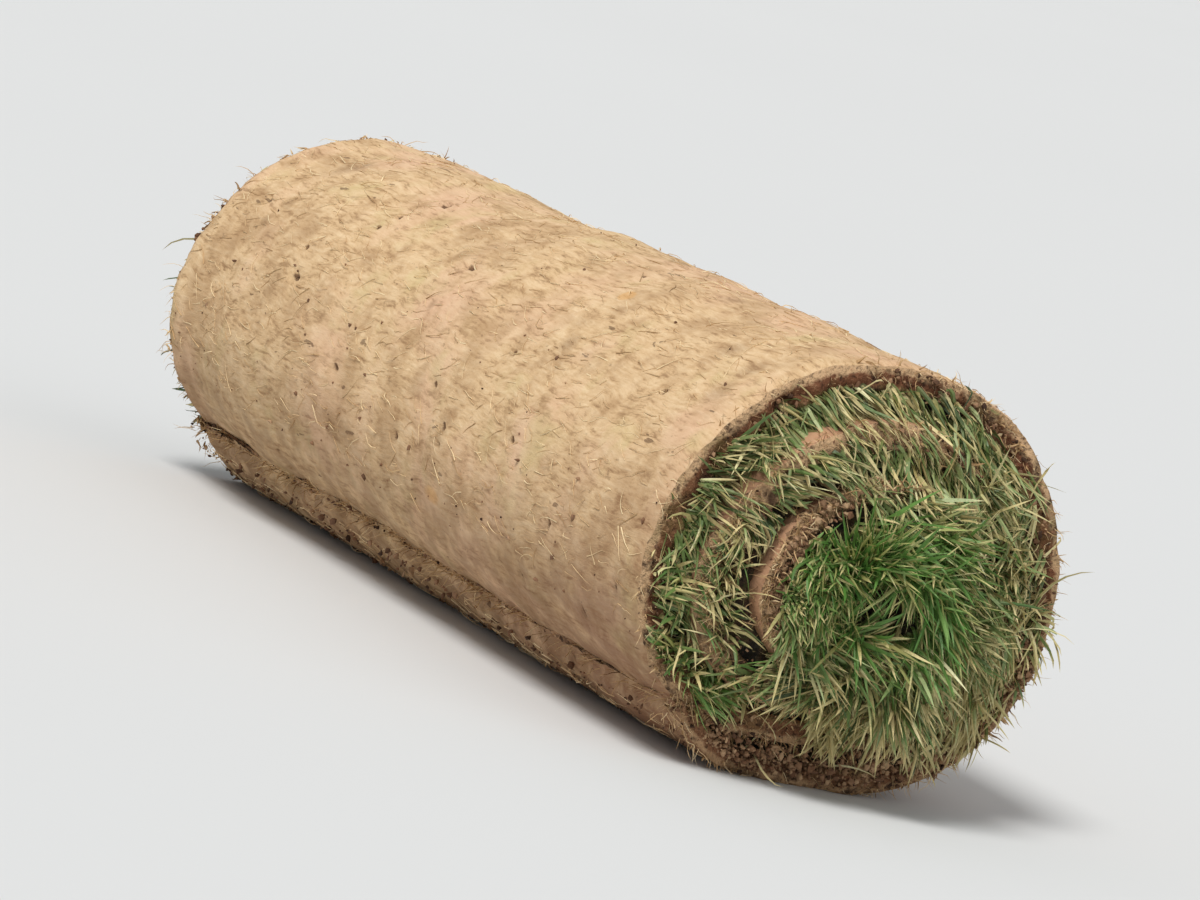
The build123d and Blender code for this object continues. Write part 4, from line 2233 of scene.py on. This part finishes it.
@dataclass(frozen=True)
class SoftLamp:
    """A broad lamp, far off, that lights the whole floor evenly. Its softness is in degrees."""

    name: str
    towards: tuple[float, float, float]
    strength: float
    softness: float

    def make(self) -> None:
        """Hang the lamp."""
        data = bpy.data.lights.new(self.name, "SUN")
        data.energy = self.strength
        data.angle = math.radians(self.softness)
        lamp = bpy.data.objects.new(self.name, data)
        lamp.location = Vector(self.towards) * 2
        lamp.rotation_euler = Vector(self.towards).to_track_quat("Z", "Y").to_euler()
        bpy.context.scene.collection.objects.link(lamp)


@dataclass(frozen=True)
class Studio:
    """Plain pale floor, soft lamps, and the camera at the photograph's angle."""

    azimuth: float = math.radians(63)
    elevation: float = math.radians(6.4)
    lean: float = math.radians(15)
    distance: float = 3.15
    lens: float = 190.0
    sensor: float = 36.0
    aim: tuple[float, float, float] = (0.0, 0.0, 0.098)
    floor_colour: Colour = srgb(216, 216, 214)
    floor_wash: float = 0.98
    floor_size: float = 60.0
    key: SoftLamp = SoftLamp("key", (0.34, -0.52, 1.0), 2.5, 20.0)
    fill: SoftLamp = SoftLamp("fill", (0.9, 0.5, 0.5), 0.4, 60.0)
    room_colour: Colour = (0.93, 0.96, 1.0)
    room_strength: float = 0.44

    def floor(self) -> None:
        """Make the floor, which shows pale to the camera and takes the roll's shadow."""
        bpy.ops.mesh.primitive_plane_add(size=self.floor_size, location=(0, 0, 0))
        floor = bpy.context.object
        floor.name = "studio_floor"
        tools = MaterialTools("studio_floor")
        washed = tuple(c * self.floor_wash for c in self.floor_colour)
        tone = tools.mix(tools.lumps(0.5, 1.0, 0.5), self.floor_colour, washed)
        tools.feed(tools.shader.inputs["Base Color"], tone)
        tools.shader.inputs["Roughness"].default_value = 0.9
        floor.data.materials.append(tools.material)

    def world(self) -> None:
        """Light the room evenly from all round."""
        world = bpy.data.worlds.new("studio_room")
        bpy.context.scene.world = world
        world.use_nodes = True
        background = world.node_tree.nodes["Background"]
        background.inputs["Color"].default_value = (*self.room_colour, 1.0)
        background.inputs["Strength"].default_value = self.room_strength

    def camera(self) -> None:
        """Set up the camera, leaning as the photograph does."""
        back = Vector((
            math.sin(self.azimuth) * math.cos(self.elevation),
            -math.cos(self.azimuth) * math.cos(self.elevation),
            math.sin(self.elevation),
        ))
        data = bpy.data.cameras.new("portrait")
        data.lens = self.lens
        data.sensor_width = self.sensor
        camera = bpy.data.objects.new("portrait", data)
        camera.location = Vector(self.aim) + back * self.distance
        look = (-back).to_track_quat("-Z", "Y")
        camera.rotation_mode = "QUATERNION"
        camera.rotation_quaternion = look @ Quaternion((0, 0, 1), self.lean)
        bpy.context.scene.collection.objects.link(camera)
        bpy.context.scene.camera = camera

    def make(self) -> None:
        """Make the whole studio."""
        bpy.context.scene.view_settings.view_transform = "Standard"
        self.floor()
        self.world()
        self.key.make()
        self.fill.make()
        self.camera()
        log.info("studio: floor, world, lamps and camera")


def main() -> None:
    """Build and dress every piece, in order, and report each one."""
    logging.basicConfig(level=logging.INFO, format="%(name)s: %(message)s")
    low, high = CAD_BOX
    winding = Winding(TurfSize(low=low, high=high))
    log.info("strip of turf: %.0f mm long", winding.length * 1000)
    Studio().make()
    surface = RootSurface(winding)
    RootMat(surface).make(RootFaceFinish().material(), CutEdgeFinish().material())
    thatch = Thatch(winding)
    thatch_material = ThatchFinish().material()
    thatch.make_wound(thatch_material)
    thatch.make_plug(thatch_material)
    green = GREEN_BLADES.material()
    straw = STRAW_BLADES.material()
    near_end = GrassEnd(winding, End.NEAR, blades=7000, straw=3000, stems=46, seed=31)
    near_end.make(green, straw)
    far_end = GrassEnd(winding, End.FAR, blades=4000, straw=1500, stems=12, lengths=(0.012, 0.032), seed=41)
    far_end.make(green, straw)
    LooseFibres(surface).make(ROOT_FIBRES.material())
    Crumbs(surface).make(SOIL_CRUMBS.material())


if __name__ == "__main__":
    main()
